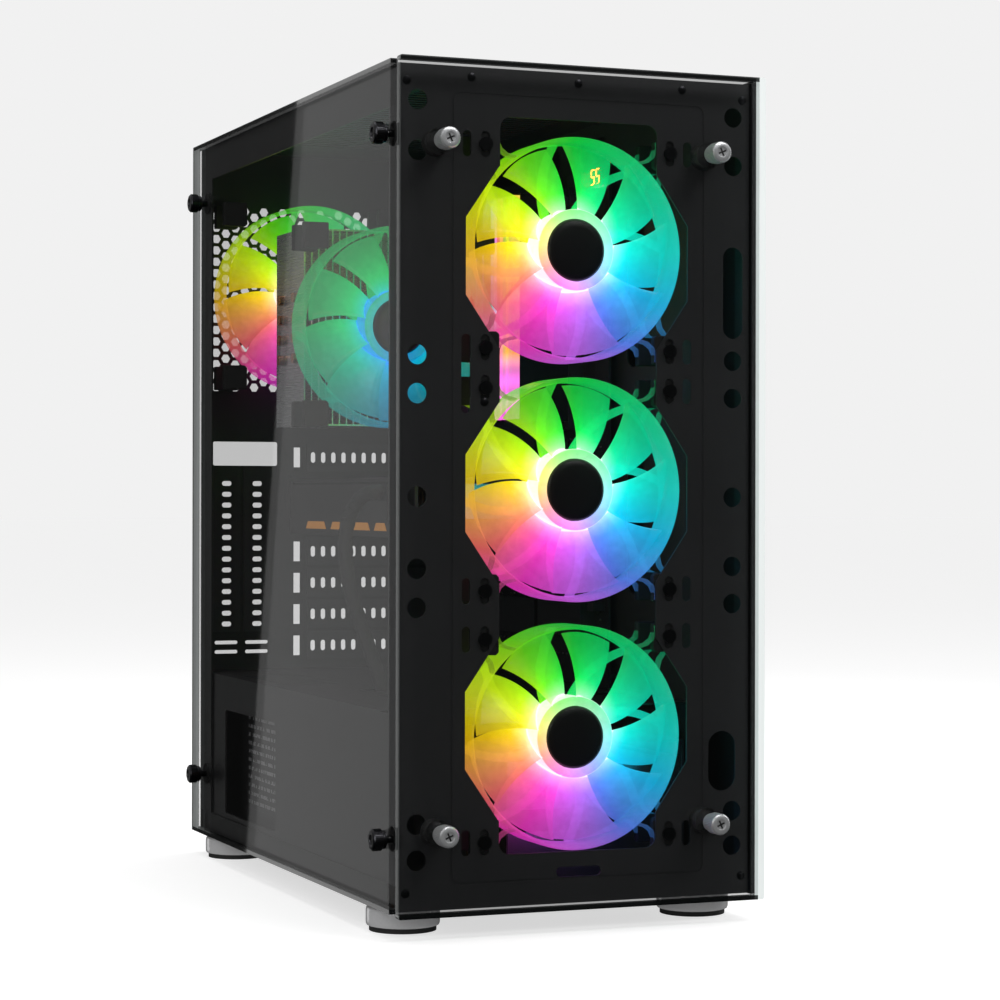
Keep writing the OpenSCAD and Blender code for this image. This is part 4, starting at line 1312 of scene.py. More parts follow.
    def build_frame(self) -> None:
        """Makes the flared ring, the corner arms, the back's struts and the motor plate."""
        clear = self.lit("frame", 0.5, 0.7, 0.36)
        inner, outer, deep = self.ring_inner, self.ring_outer, self.depth
        ring = Shapes.lathe(
            f"{self.name}_ring",
            [
                (outer - 0.3, 0),
                (outer, 0.3),
                (outer, deep - 0.3),
                (outer - 0.3, deep),
                (inner + 1.6, deep),
                (inner + 0.7, deep - 2.2),
                (inner, deep - 5),
                (inner, 5),
                (inner + 0.7, 2.2),
                (inner + 1.7, 0),
            ],
            96,
            True,
        )
        ring.data.materials.append(clear)
        patterns = self.bench.patterns
        parts = [ring]
        dim = self.lit("corner", 0.45, 0.22, 0.14)
        for low in (0.0, deep - 4.6) if self.prongs else ():
            for side in (-1, 1):
                parts.append(patterns.around.run(self.prong(low, side), Count=4, Start=0.0, Finish=dim))
        parts.append(patterns.around.run(self.strut(), Count=8, Start=0.3, Finish=clear))
        motor = Shapes.lathe(
            f"{self.name}_motor",
            [
                (0, deep - 4),
                (19, deep - 4),
                (20.4, deep - 3),
                (20.4, deep - 0.8),
                (19.4, deep),
                (0, deep),
            ],
        )
        motor.data.materials.append(clear)
        whole = Shapes.joined(f"{self.name}_frame_clear", parts + [motor])
        self.bench.fit(whole, "chassis", "clear_frame", replaces=(self.frame_node,), matrix=self.matrix)

    def build_pads(self) -> None:
        """Makes the soft corner pads that keep the frame from buzzing."""
        edge = self.pitch / 2 + 6.7
        outline = [(edge - 15, edge), (edge, edge), (edge, edge - 15), (45.6, 44.0), (44.0, 45.6)]
        pads = []
        for low in (-0.02, self.depth - 4.9):
            pad = Shapes.prism(f"{self.name}_pad", outline, low, low + 4.92, 0.6)
            pads.append(
                self.bench.patterns.around.run(pad, Count=4, Start=0.0, Finish=self.bench.finishes["rubber"])
            )
        whole = Shapes.joined(f"{self.name}_pads", pads)
        self.bench.fit(whole, "chassis", "pad_rubber", matrix=self.matrix)

    def build(self) -> None:
        """Builds the whole fan."""
        self.build_rotor()
        self.build_frame()
        self.build_pads()


@dataclass
class PlainRotor:
    """A black rotor with swept blades, as on the graphics card and the power supply."""

    bench: Bench
    node: str
    tip: float
    hub: float
    low: float
    high: float
    place: tuple[float, float, float]
    count: int

    def build(self) -> None:
        """Makes the blades, the hub and its low dome."""
        rows, columns, points, faces = 9, 5, [], []
        mid, reach = (self.low + self.high) / 2, (self.high - self.low) / 2 - 0.5
        for side in (-1, 1):
            for i in range(rows):
                u = i / (rows - 1)
                radius = self.hub - 0.5 + (self.tip - self.hub + 0.5) * u
                for j in range(columns):
                    t = 2 * j / (columns - 1) - 1
                    turn = 0.75 * u**1.25 + t * math.pi / self.count * 0.8
                    points.append((radius * math.cos(turn), radius * math.sin(turn), mid + t * reach + side * 0.4))
        layer = rows * columns
        for i in range(rows - 1):
            for j in range(columns - 1):
                a = i * columns + j
                faces.append((a, a + 1, a + columns + 1, a + columns))
                b = a + layer
                faces.append((b, b + columns, b + columns + 1, b + 1))
            for j in (0, columns - 1):
                a = i * columns + j
                faces.append((a, a + columns, a + columns + layer, a + layer))
        for j in range(columns - 1):
            for i in (0, rows - 1):
                a = i * columns + j
                faces.append((a, a + 1, a + 1 + layer, a + layer))
        blade = Shapes.from_faces(f"{self.node}_blade", points, faces, True)
        finish = self.bench.finishes["blade plastic"]
        blades = self.bench.patterns.around.run(blade, Count=self.count, Start=0.0, Finish=finish)
        r = self.hub
        hub = Shapes.lathe(
            f"{self.node}_hub",
            [(0, self.low), (r * 0.6, self.low + 0.05), (r - 1.2, self.low + 0.35), (r, self.low + 1.6), (r, self.high), (0, self.high)],
        )
        hub.data.materials.append(finish)
        cap = Shapes.lathe(
            f"{self.node}_cap",
            [(0, self.low - 0.25), (r * 0.62, self.low - 0.2), (r * 0.66, self.low + 0.1), (r * 0.66, self.low + 0.6), (0, self.low + 0.6)],
        )
        cap.data.materials.append(self.bench.finishes["satin silver"])
        whole = Shapes.joined(f"{self.node}_swept", [blades, hub, cap])
        self.bench.fit(
            whole, self.node, "shroud_plastic", replaces=(self.node,), matrix=Matrix.Translation(self.place)
        )


@dataclass
class ThumbScrew:
    """A knurled thumbscrew with a cross in its head."""

    bench: Bench
    node: str
    facing: Facing
    place: tuple[float, float, float]
    radius: float
    height: float
    reach: float
    finish: str
    slot: str

    def build(self) -> None:
        """Makes the turned head, its ridges, the shank, and black cross arms that paint the shade of the cross recess.
        """
        r, h = self.radius, self.height
        body = Shapes.lathe(
            f"{self.node}_head",
            [
                (0, -self.reach),
                (1.6, -self.reach),
                (2.0, -self.reach + 0.5),
                (2.0, 0.0),
                (r - 1.3, 0.0),
                (r - 0.9, 0.4),
                (r - 0.9, h * 0.24),
                (r - 0.35, h * 0.3),
                (r - 0.35, h - 1.1),
                (r - 0.9, h - 0.35),
                (r - 1.8, h - 0.02),
                (2.9, h - 0.1),
                (2.5, h - 0.75),
                (0, h - 0.95),
            ],
            48,
        )
        metal = self.bench.finishes[self.finish]
        body.data.materials.append(metal)
        ridge = Shapes.prism(
            f"{self.node}_ridge",
            [(r - 0.75, -0.24), (r - 0.02, -0.07), (r - 0.02, 0.07), (r - 0.75, 0.24)],
            h * 0.32,
            h - 1.15,
        )
        ridges = self.bench.patterns.around.run(ridge, Count=40, Start=0.0, Finish=metal)
        # Painted shade: black cross arms, raised a little in the head's shallow dip, stand for the shade inside the
        # cross recess.
        dark = self.bench.finishes["screw recess painted shade"]
        painted_recess_arm = Shapes.block(f"{self.node}_wing", (0.05, -0.42, h - 1.0), (2.2, 0.42, h - 0.62), 0.08)
        cross = self.bench.patterns.around.run(painted_recess_arm, Count=4, Start=0.4, Finish=dark)
        whole = Shapes.joined(f"{self.node}_knurled", [body, ridges, cross])
        matrix = self.facing.at(*self.place)
        self.bench.fit(whole, self.node, self.slot, replaces=(self.node,), matrix=matrix)


@dataclass
class Feet:
    """Four turned and plated cups."""

    bench: Bench
    radius: float = 19.5

    def build(self) -> None:
        """Makes the cups over their rubber pads."""
        lo, hi = self.bench.datum.box("feet")
        r, cups = self.radius, []
        for x in (lo.x + r, hi.x - r):
            for y in (lo.y + r, hi.y - r):
                cup = Shapes.lathe(
                    "foot_cup",
                    [
                        (0, 2.5),
                        (r - 1.6, 2.5),
                        (r - 0.5, 2.9),
                        (r - 0.1, 3.7),
                        (r, 4.6),
                        (r, 10.6),
                        (r - 0.25, 11.9),
                        (r - 1.0, 12.7),
                        (r - 3.9, 12.95),
                        (r - 4.1, 13.1),
                        (r - 4.1, hi.z),
                        (0, hi.z),
                    ],
                    96,
                )
                cups.append(Shapes.moved(cup, Matrix.Translation((x, y, 0))))
        whole = Shapes.joined("foot_cups", cups)
        self.bench.fit(whole, "chassis", "foot_chrome", self.bench.finishes["plated foot"], ("feet",))


@dataclass
class CardLead:
    """The sleeved lead that feeds the graphics card."""

    bench: Bench
    route: tuple = (
        (-51.6, 178, 229.6),
        (-53.6, 178, 229.6),
        (-56, 178.2, 229.6),
        (-60, 189, 227),
        (-63, 201, 216),
        (-66, 199, 199),
        (-66, 193, 178),
        (-60, 192, 156),
        (-53, 190, 135),
        (-47, 187, 116),
        (-45, 190, 102),
        (-43, 204, 90),
        (-42, 226, 84),
        (-42, 250, 82),
    )

    def build(self) -> None:
        """Sweeps the twisted sleeve along its route."""
        curve = bpy.data.curves.new("card_lead", "CURVE")
        curve.dimensions = "3D"
        line = curve.splines.new("POLY")
        route = [Vector(p) for p in self.route]
        dense = []
        for i in range(len(route) - 1):
            a, b, c, d = route[max(i - 1, 0)], route[i], route[i + 1], route[min(i + 2, len(route) - 1)]
            for k in range(6):
                t = k / 6
                dense.append(
                    0.5 * (2 * b + (c - a) * t + (2 * a - 5 * b + 4 * c - d) * t**2 + (3 * b - a - 3 * c + d) * t**3)
                )
        dense.append(route[-1])
        line.points.add(len(dense) - 1)
        for point, spot in zip(line.points, dense):
            point.co = (*spot, 1)
        path = bpy.data.objects.new("card_lead_sleeved", curve)
        bpy.context.scene.collection.objects.link(path)
        lead = self.bench.patterns.sweep.run(
            path, Radius=4.5, Lobes=8, Rings=150, Turns=5.0, Finish=self.bench.finishes["braid"]
        )
        self.bench.fit(lead, "chassis", "cable_sleeve", replaces=("power_cable",))


@dataclass
class BoardParts:
    """Small parts on the main board: coils, cans, chips, solder dots and socket headers."""

    bench: Bench

    def field(
        self, name: str, part: bpy.types.Object, y: float, z: float, across: int, down: int, pitch: float, share: float, seed: int, finish: str
    ) -> bpy.types.Object:
        """Strews one small part over a field of the board.

        Args:
            name: The result's name.
            part: The part, standing on Z = 0.
            y: The field's front edge.
            z: The field's lower edge.
            across: Columns towards the back.
            down: Rows upwards.
            pitch: Their pitch.
            share: How many places are filled.
            seed: The fixed seed.
            finish: The finish's name.

        Returns:
            The parts in the case's millimetres.
        """
        made = self.bench.patterns.scattered.run(
            part, Across=across, Down=down, Pitch=pitch, Share=share, Seed=seed, Finish=self.bench.finishes[finish]
        )
        lo, _hi = self.bench.datum.box("motherboard")
        turn = Matrix(((0, 0, -1), (1, 0, 0), (0, -1, 0))).to_4x4()
        made.name = name
        return Shapes.moved(made, Matrix.Translation((lo.x, y, z)) @ turn)

    def build(self) -> None:
        """Makes the parts."""
        lo, hi = self.bench.datum.box("motherboard")
        can = Shapes.lathe("can", [(0, 0), (2.6, 0), (2.6, 0.6), (2.4, 0.9), (2.6, 1.2), (2.6, 6.0), (2.2, 6.5), (0, 6.5)], 20)
        coil = Shapes.block("coil", (-3.4, -3.4, 0), (3.4, 3.4, 5.6), 0.7)
        chip = Shapes.block("chip", (-3.2, -2.4, 0), (3.2, 2.4, 1.1), 0.12, 1)
        dot = Shapes.block("dot", (-0.9, -0.5, 0), (0.9, 0.5, 0.6), 0.05, 1)
        parts = [
            self.field("cans", can, 312, 366, 3, 6, 8.4, 0.9, 3, "can aluminium"),
            self.field("coils", coil, 304, 380, 3, 10, 8.2, 1.0, 1, "coil"),
            self.field("chips", chip, 158, 258, 8, 8, 16, 0.45, 5, "chip"),
            self.field("dots", dot, 150, 262, 40, 24, 5.6, 0.45, 8, "dot solder"),
            self.field("sound_cans", Shapes.lathe("can", [(0, 0), (2.4, 0), (2.4, 7.4), (2.0, 7.8), (0, 7.8)], 20), 340, 168, 5, 4, 8.6, 0.8, 11, "can gold"),
        ]
        header = Shapes.block("header", (0, 0, 0), (8.6, 5.2, 7.5), 0.3, 1)
        row = self.bench.patterns.rows.run(
            header, Across=1, Down=7, Step=(0.0, 0.0, 0.0), Drop=(0.0, 22.0, 0.0), Finish=self.bench.finishes["socket plastic"]
        )
        turn = Matrix(((0, 0, -1), (1, 0, 0), (0, -1, 0))).to_4x4()
        parts.append(Shapes.moved(row, Matrix.Translation((lo.x, 150, 276)) @ turn))
        whole = Shapes.joined("board_small_parts", parts)
        self.bench.fit(whole, "chassis", "board_black")


@dataclass
class CodeDisplay:
    """Two plain digits and the small lamps beside them."""

    bench: Bench
    place: tuple[float, float, float] = (75.95, 159.2, 415.5)

    def build(self) -> None:
        """Makes the lit segments and the lamps."""
        x, y, z = self.place
        parts = []
        amber = self.bench.finishes["amber segment"]
        for column in (0.0, 7.0):
            bars = [(0, 0, 4, 0.8), (0, 4.2, 4, 0.8), (0, 8.4, 4, 0.8), (-0.6, 0.9, 0.8, 3.2), (3.9, 5.1, 0.8, 3.2)]
            for across, up, width, height in bars:
                bar = Shapes.block(
                    "segment",
                    (x, y + column + across, z - 5 + up),
                    (x + 0.45, y + column + across + width, z - 5 + up + height),
                    0.1,
                    1,
                )
                bar.data.materials.append(amber)
                parts.append(bar)
        digits = Shapes.joined("code_digits", parts)
        self.bench.fit(digits, "chassis", "memory_light")
        lamp = Shapes.block("lamp", (0, 0, 0), (0.8, 1.8, 1.2), 0.15, 1)
        row = self.bench.patterns.rows.run(
            lamp, Across=3, Down=1, Step=(0.0, 5.0, 0.0), Drop=(0.0, 0.0, 0.0), Finish=self.bench.finishes["white lamp"]
        )
        row.name = "board_lamps"
        self.bench.fit(row, "chassis", "memory_light", matrix=Matrix.Translation((75.5, 152, 408)))


@dataclass
class CardTrim:
    """Brass trim with a painted glow, and plate ribs on the graphics card."""

    bench: Bench

    def build(self) -> None:
        """Makes the trim lines on the card's side and the ribs of its plate."""
        lo, hi = self.bench.datum.box("graphics_shroud")
        # The brass trim is no lamp: its weak emission is a painted glow.
        gold = self.bench.finishes["brass trim painted glow"]
        parts = []
        for y, length in ((lo.y + 14, 34), (lo.y + 56, 22), (lo.y + 86, 40), (lo.y + 138, 22), (lo.y + 170, 40)):
            outline = [(y, 0), (y + length, 0), (y + length - 4, 4.6), (y + 4, 4.6)]
            bar = Shapes.prism("trim", outline, 0, 0.55, 0.1)
            turn = Matrix(((0, 0, -1), (1, 0, 0), (0, 1, 0))).to_4x4()
            Shapes.moved(bar, Matrix.Translation((lo.x + 0.1, 0, lo.z + 3.6)) @ turn)
            bar.data.materials.append(gold)
            parts.append(bar)
        whole = Shapes.joined("card_trim", parts)
        self.bench.fit(whole, "chassis", "shroud_plastic")
        top = self.bench.datum.box("graphics_backplate")[1]
        rib = Shapes.block("rib", (0, 0, 0), (2.0, 44.0, 0.5), 0.2, 1)
        ribs = self.bench.patterns.rows.run(
            rib, Across=9, Down=1, Step=(8.6, 6.0, 0.0), Drop=(0.0, 0.0, 0.0), Finish=self.bench.finishes["plate rib"]
        )
        ribs.name = "card_plate_ribs"
        self.bench.fit(ribs, "chassis", "heatsink_metal", matrix=Matrix.Translation((lo.x + 12, lo.y + 96, top.z - 0.05)))


@dataclass
class SupplyLabel:
    """The plain label that shows through the cover's window."""

    bench: Bench

    def build(self) -> None:
        """Makes the label and lays it on the supply's side."""
        lo, hi = self.bench.datum.box("psu_case")
        at = self.bench.datum.at
        label = Shapes.block("supply_label", (lo.x - 0.25, lo.y + 6, lo.z + 8), (lo.x - 0.02, lo.y + 92, hi.z - 8), 0.05, 1)
        finish = RatingLabel("rating label", at(lo.x, lo.y + 6, lo.z + 8), at(lo.x, lo.y + 92, hi.z - 8)).make()
        self.bench.fit(label, "chassis", "supply_steel", finish)


@dataclass
class BackPorts:
    """Shells, tongues and jacks behind the shield's openings, with black plates of painted shade in them."""

    bench: Bench

    def build(self) -> None:
        """Makes the ports."""
        lo, hi = self.bench.datum.box("io_shield")
        board = self.bench.datum.box("motherboard")[0].x
        z0 = lo.z + 1
        back = hi.y - 0.4
        finishes = self.bench.finishes
        parts = []
        shell = Shapes.block("shell", (0, 0, 0), (13.2, 12, 15.0), 0.4, 1)
        shells = self.bench.patterns.rows.run(
            shell, Across=1, Down=3, Step=(0.0, 0.0, 0.0), Drop=(0.0, 0.0, 22.0), Finish=finishes["port steel"]
        )
        parts.append(Shapes.moved(shells, Matrix.Translation((board - 33.6, back - 13, z0 + 10.5))))
        for k in range(3):
            for up in (3.2, 10.4):
                # Painted shade: a thin black plate on each port's face stands for the shade inside its opening.
                hole = Shapes.block("hole", (0, 0, 0), (12, 0.6, 4.6), 0.3, 1)
                hole.data.materials.append(finishes["port painted shade"])
                parts.append(Shapes.moved(hole, Matrix.Translation((board - 33.0, back - 1.5, z0 + 10.5 + 22 * k + up - 2.3))))
                tongue = Shapes.block("tongue", (0, 0, 0), (10, 0.8, 1.6), 0.2, 1)
                tongue.data.materials.append(finishes["port blue"])
                parts.append(Shapes.moved(tongue, Matrix.Translation((board - 32.0, back - 1.4, z0 + 10.5 + 22 * k + up + 0.2))))
        jack = Shapes.lathe(
            "jack", [(1.75, 0), (3.7, 0), (3.7, 5.6), (3.3, 6.0), (2.3, 6.0), (1.75, 5.5)], 28, True
        )
        jacks = self.bench.patterns.rows.run(
            jack, Across=1, Down=3, Step=(0.0, 0.0, 0.0), Drop=(0.0, -16.0, 0.0), Finish=finishes["jack ring"]
        )
        parts.append(Shapes.moved(jacks, Facing.BACK.at(board - 12, back - 6.2, z0 + 14)))
        for k in range(4):
            # Painted shade: a black plate in each upper opening stands for the shade inside it.
            dark = Shapes.block("painted_port_shade", (0, 0, 0), (13, 0.6, 13.6), 0.3, 1)
            dark.data.materials.append(finishes["port painted shade"])
            parts.append(Shapes.moved(dark, Matrix.Translation((board - 18.5, back - 2.4, z0 + 76.7 + 19 * k))))
            tongue = Shapes.block("tongue", (0, 0, 0), (9, 0.9, 1.8), 0.2, 1)
            tongue.data.materials.append(finishes["port blue" if k else "port steel"])
            parts.append(Shapes.moved(tongue, Matrix.Translation((board - 16.5, back - 2.0, z0 + 82.5 + 19 * k))))
        whole = Shapes.joined("back_ports", parts)
        self.bench.fit(whole, "chassis", "shield_steel")


@dataclass
class FrontDetails:
    """Rivets on the front plate and the lamp round the power button."""

    bench: Bench

    def build(self) -> None:
        """Makes the rivets and the lamp."""
        lo, hi = self.bench.datum.box("front_plate")
        y = 12.0
        parts = []
        corners = ((-95.5, 440), (95.5, 440), (-60, 443.6), (0, 443.6), (60, 443.6), (-95.5, 24), (95.5, 24))
        for x, z in ((-52.5, 302), (-52.5, 276)) + corners:
            stud = Shapes.lathe("rivet", [(0, 0), (2.3, 0), (2.1, 0.5), (1.3, 0.85), (0, 0.95)], 20)
            stud.data.materials.append(self.bench.finishes["black screw"])
            parts.append(Shapes.moved(stud, Facing.FRONT.at(x, y, z)))
        whole = Shapes.joined("plate_rivets", parts)
        self.bench.fit(whole, "chassis", "black_screw")
        button_lo, button_hi = self.bench.datum.box("power_button")
        middle = (button_lo + button_hi) / 2
        ring = Shapes.lathe("power_ring", [(4.4, 0), (5.1, 0), (5.1, 0.18), (4.4, 0.18)], 48, True)
        self.bench.fit(
            ring,
            "power_button",
            "button_plastic",
            self.bench.finishes["white lamp"],
            matrix=Matrix.Translation((middle.x, middle.y, button_hi.z - 0.05)),
        )


# ---- the studio ----


@dataclass(frozen=True)
class Softbox:
    """A plain rectangular studio light."""

    name: str
    place: tuple[float, float, float]
    aim: tuple[float, float, float]
    size: tuple[float, float]
    power: float
    seen: bool = True
    lean: float = 0.0

    def build(self) -> None:
        """Hangs the light."""
        light = bpy.data.lights.new(self.name, "AREA")
        light.shape = "RECTANGLE"
        light.size, light.size_y = self.size
        light.energy = self.power
        made = bpy.data.objects.new(self.name, light)
        bpy.context.scene.collection.objects.link(made)
        made.location = self.place
        facing = (Vector(self.aim) - Vector(self.place)).to_track_quat("-Z", "Y").to_matrix()
        made.rotation_euler = (facing @ Matrix.Rotation(self.lean, 3, "Z")).to_euler()
        made.visible_camera = False
        made.visible_glossy = self.seen


@dataclass
class Studio:
    """Camera, floor, lights and the room round them."""

    eye: tuple[float, float, float] = (-0.55717, -1.48935, 0.22535)
    yaw: float = 0.3765
    roll: float = 0.002
    lens: float = 97.74

    def build_camera(self) -> None:
        """Sets the camera."""
        ahead = Vector((math.sin(self.yaw), math.cos(self.yaw), 0))
        right = Vector((math.cos(self.yaw), -math.sin(self.yaw), 0))
        up = Vector((0, 0, 1))
        tilted = right * math.cos(self.roll) + up * math.sin(self.roll)
        raised = up * math.cos(self.roll) - right * math.sin(self.roll)
        data = bpy.data.cameras.new("camera")
        data.lens = self.lens
        data.sensor_width = 36
        data.clip_start, data.clip_end = 0.01, 100
        camera = bpy.data.objects.new("camera", data)
        bpy.context.scene.collection.objects.link(camera)
        turn = Matrix((tilted, raised, -ahead)).transposed().to_4x4()
        camera.matrix_world = Matrix.Translation(self.eye) @ turn
        bpy.context.scene.camera = camera

    def build_floor(self) -> None:
        """Lays the plain pale floor."""
        mesh = bpy.data.meshes.new("floor")
        mesh.from_pydata([(-30, -30, 0), (30, -30, 0), (30, 30, 0), (-30, 30, 0)], [], [(0, 1, 2, 3)])
        floor = bpy.data.objects.new("floor", mesh)
        bpy.context.scene.collection.objects.link(floor)
        kit = Kit("pale floor")
        cloud = kit.noise(3)
        floor.data.materials.append(
            kit.surface(
                Base_Color=kit.mix(cloud, (0.56, 0.56, 0.56), (0.58, 0.58, 0.58)),
                Roughness=0.7,
                Emission_Color=(1.0, 1.0, 1.0),
                Emission_Strength=0.64,
            )
        )
        floor.visible_glossy = False
        floor.visible_diffuse = False

    def build_room(self) -> None:
        """Makes the air pale to the eye and to the floor, and dark in gloss."""
        world = bpy.data.worlds.new("room")
        bpy.context.scene.world = world
        world.use_nodes = True
        nodes, links = world.node_tree.nodes, world.node_tree.links
        nodes.clear()
        path = nodes.new("ShaderNodeLightPath")
        ahead = nodes.new("ShaderNodeTexCoord")
        split = nodes.new("ShaderNodeSeparateXYZ")
        rise = nodes.new("ShaderNodeMapRange")
        rise.inputs["From Min"].default_value = 0.12
        rise.inputs["From Max"].default_value = 0.7
        rise.inputs["To Min"].default_value = 0.015
        rise.inputs["To Max"].default_value = 0.4
        level = nodes.new("ShaderNodeMix")
        level.inputs[2].default_value = 0.42
        room, seen = nodes.new("ShaderNodeBackground"), nodes.new("ShaderNodeBackground")
        seen.inputs["Strength"].default_value = 0.88
        for light in (room, seen):
            light.inputs["Color"].default_value = (1, 1, 1, 1)
        blend, out = nodes.new("ShaderNodeMixShader"), nodes.new("ShaderNodeOutputWorld")
        links.new(ahead.outputs["Generated"], split.inputs[0])
        links.new(split.outputs["Z"], rise.inputs["Value"])
        links.new(path.outputs["Is Glossy Ray"], level.inputs[0])
        links.new(rise.outputs[0], level.inputs[3])
        links.new(level.outputs[0], room.inputs["Strength"])
        links.new(path.outputs["Is Camera Ray"], blend.inputs[0])
        links.new(room.outputs[0], blend.inputs[1])
        links.new(seen.outputs[0], blend.inputs[2])
        links.new(blend.outputs[0], out.inputs[0])
        bpy.context.scene.view_settings.view_transform = "Standard"

    def build(self) -> None:
        """Builds the studio."""
        self.build_camera()
        self.build_floor()
        self.build_room()
        for light in (
            Softbox("key light", (0.9, -1.7, 2.1), (0, 0, 0.2), (1.2, 0.8), 22),
            Softbox("side softbox", (-0.66, 1.1, 0.45), (-0.66, 0, 0.45), (0.44, 1.4), 1.0, lean=-0.068),
            Softbox("top light", (0.0, 0.2, 1.9), (0, 0, 0.4), (1.2, 1.2), 16),
            Softbox("edge light", (1.5, 0.3, 0.6), (0.1, -0.1, 0.25), (0.5, 1.2), 10),
            Softbox("fill light", (-1.5, -1.1, 0.7), (0, 0, 0.25), (0.5, 1.2), 7),
        ):
            light.build()


def make_finishes() -> dict[str, bpy.types.Material]:
    """Makes the finishes that several pieces share.

    Returns:
        The materials by name.
    """
    made = {
        "powder": PowderCoat(),
        "front powder": PowderCoat("front powder coat", 0.04, 0.5),
        "inner powder": PowderCoat("inner powder coat", 0.03, 0.5),
        "cover powder": PowderCoat("cover powder coat", 0.02, 0.42),
        "rubber": Rubber(),
        "plated foot": BrushedMetal("plated foot", (0.97, 0.97, 0.98), 0.12, metal=0.38),
        "bright screw": BrushedMetal("bright screw", (0.75, 0.76, 0.77), 0.34, metal=0.7),
        "black screw": BrushedMetal("black screw", (0.05, 0.05, 0.055), 0.34),
        # Black plastic that paints the shade inside the screws' cross recesses.
        "screw recess painted shade": MouldedPlastic("screw recess painted shade", (0.01, 0.01, 0.01), 0.5),
        "satin cap": MouldedPlastic("satin cap", (0.012, 0.012, 0.013), 0.36),
        "blade plastic": MouldedPlastic("blade plastic", (0.02, 0.02, 0.022), 0.34),
        "satin silver": BrushedMetal("satin silver", (0.35, 0.35, 0.37), 0.35),
        "board": BoardMask(),
        "heatsink": BrushedMetal("anodised block", (0.11, 0.115, 0.125), 0.36, Grain.ALONG_Z, 0.9),
        "socket plastic": MouldedPlastic("socket plastic", (0.022, 0.023, 0.026), 0.38),
        "memory": BrushedMetal("anodised memory", (0.06, 0.062, 0.068), 0.34, Grain.ALONG_Z, 0.9),
        "fins": BrushedMetal("fin aluminium", (0.62, 0.63, 0.65), 0.28, Grain.ALONG_Y),
        "copper": BrushedMetal("pipe copper", (0.72, 0.36, 0.2), 0.26, Grain.ALONG_X),
        "card fins": BrushedMetal("card fins", (0.55, 0.56, 0.58), 0.3, Grain.ALONG_X),
        "shroud": MouldedPlastic("card shroud", (0.018, 0.018, 0.02), 0.4),
        "backplate": BrushedMetal("card plate", (0.05, 0.052, 0.058), 0.38, Grain.ALONG_Y, 0.85),
        "plate rib": BrushedMetal("plate rib", (0.16, 0.165, 0.175), 0.32, Grain.ALONG_Y),
        # Brass trim with weak emission: a painted glow, since the trim is no lamp.
        "brass trim painted glow": Lamp("brass trim painted glow", (0.7, 0.3, 0.05), 0.45),
        "braid": Braid(),
        "supply": PowderCoat("supply paint", 0.02, 0.4),
        "drive": BrushedMetal("drive case", (0.42, 0.43, 0.45), 0.36, Grain.ALONG_Y),
        "shield": BrushedMetal("shield steel", (0.4, 0.41, 0.43), 0.3, Grain.ALONG_Z),
        "port steel": BrushedMetal("port steel", (0.6, 0.61, 0.63), 0.26),
        # Black plastic that paints the shade inside the ports' openings.
        "port painted shade": MouldedPlastic("port painted shade", (0.008, 0.008, 0.009), 0.5),
        "port blue": MouldedPlastic("port blue", (0.01, 0.06, 0.28), 0.35),
        "jack ring": MouldedPlastic("jack ring", (0.04, 0.16, 0.08), 0.3),
        "button": MouldedPlastic("button plastic", (0.03, 0.031, 0.034), 0.34),
        "switch": MouldedPlastic("switch red", (0.36, 0.02, 0.015), 0.32),
        "can aluminium": BrushedMetal("can aluminium", (0.5, 0.51, 0.53), 0.3),
        "can gold": BrushedMetal("can gold", (0.5, 0.4, 0.2), 0.34),
        "coil": BrushedMetal("coil", (0.13, 0.13, 0.135), 0.45),
        "chip": MouldedPlastic("chip", (0.01, 0.01, 0.011), 0.4),
        "dot solder": BrushedMetal("dot solder", (0.3, 0.29, 0.27), 0.4),
        "amber segment": Lamp("amber segment", (1.0, 0.2, 0.02), 48),
        "white lamp": Lamp("white lamp", (0.9, 0.95, 1.0), 9),
    }
    return {name: finish.make() for name, finish in made.items()}


DRESSED: dict[str, tuple[str, ...]] = {
    "front powder": ("front_plate",),
    "powder": ("base_pan", "rear_wall", "top_panel", "right_panel"),
    "inner powder": ("board_tray", "slot_covers", "drive_cage"),
    "cover powder": ("psu_cover",),
    "rubber": ("foot_pads", "glass_standoffs"),
    "shield": ("io_shield",),
    "board": ("motherboard", "graphics_board"),
    "heatsink": ("board_heatsinks",),
    "socket plastic": ("board_sockets", "psu_fittings", "top_io_module"),
    "memory": ("memory_sticks",),
    "fins": ("cooler_fins",),
    "copper": ("cooler_base",),
    "black screw": ("fan_screws",),
    "card fins": ("graphics_heatsink",),
    "shroud": ("graphics_shroud",),
    "backplate": ("graphics_backplate",),
    "supply": ("psu_case",),
    "drive": ("drives",),
    "button": ("power_button", "reset_button"),
    "switch": ("psu_switch",),
}


def dress_nodes(bench: Bench) -> None:
    """Gives the CAD nodes that stay their finishes.

    Args:
        bench: The shared bench.
    """
    for finish, nodes in DRESSED.items():
        for node in nodes:
            bench.dress(node, bench.finishes[finish])
    # The edge widths below set each glass's bands of painted highlight.
    front = TintedGlass("front glass", *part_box("front_glass"), 0.27, right=3.7, left=0.6, ends=0.6)
    bench.dress("front_glass", front.make())
    side = TintedGlass("side glass", *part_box("side_glass"), 0.24, rear=0.9, ends=0.5)
    bench.dress("side_glass", side.make())
    bench.dress("memory_light_bars", LightBar("memory light", *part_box("memory_light_bars")).make())
    bench.dress("top_filter", FilterMesh("top screen", *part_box("top_filter"), 6.4).make())
    bench.dress("base_filter", FilterMesh("base screen", *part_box("base_filter"), 6.4).make())


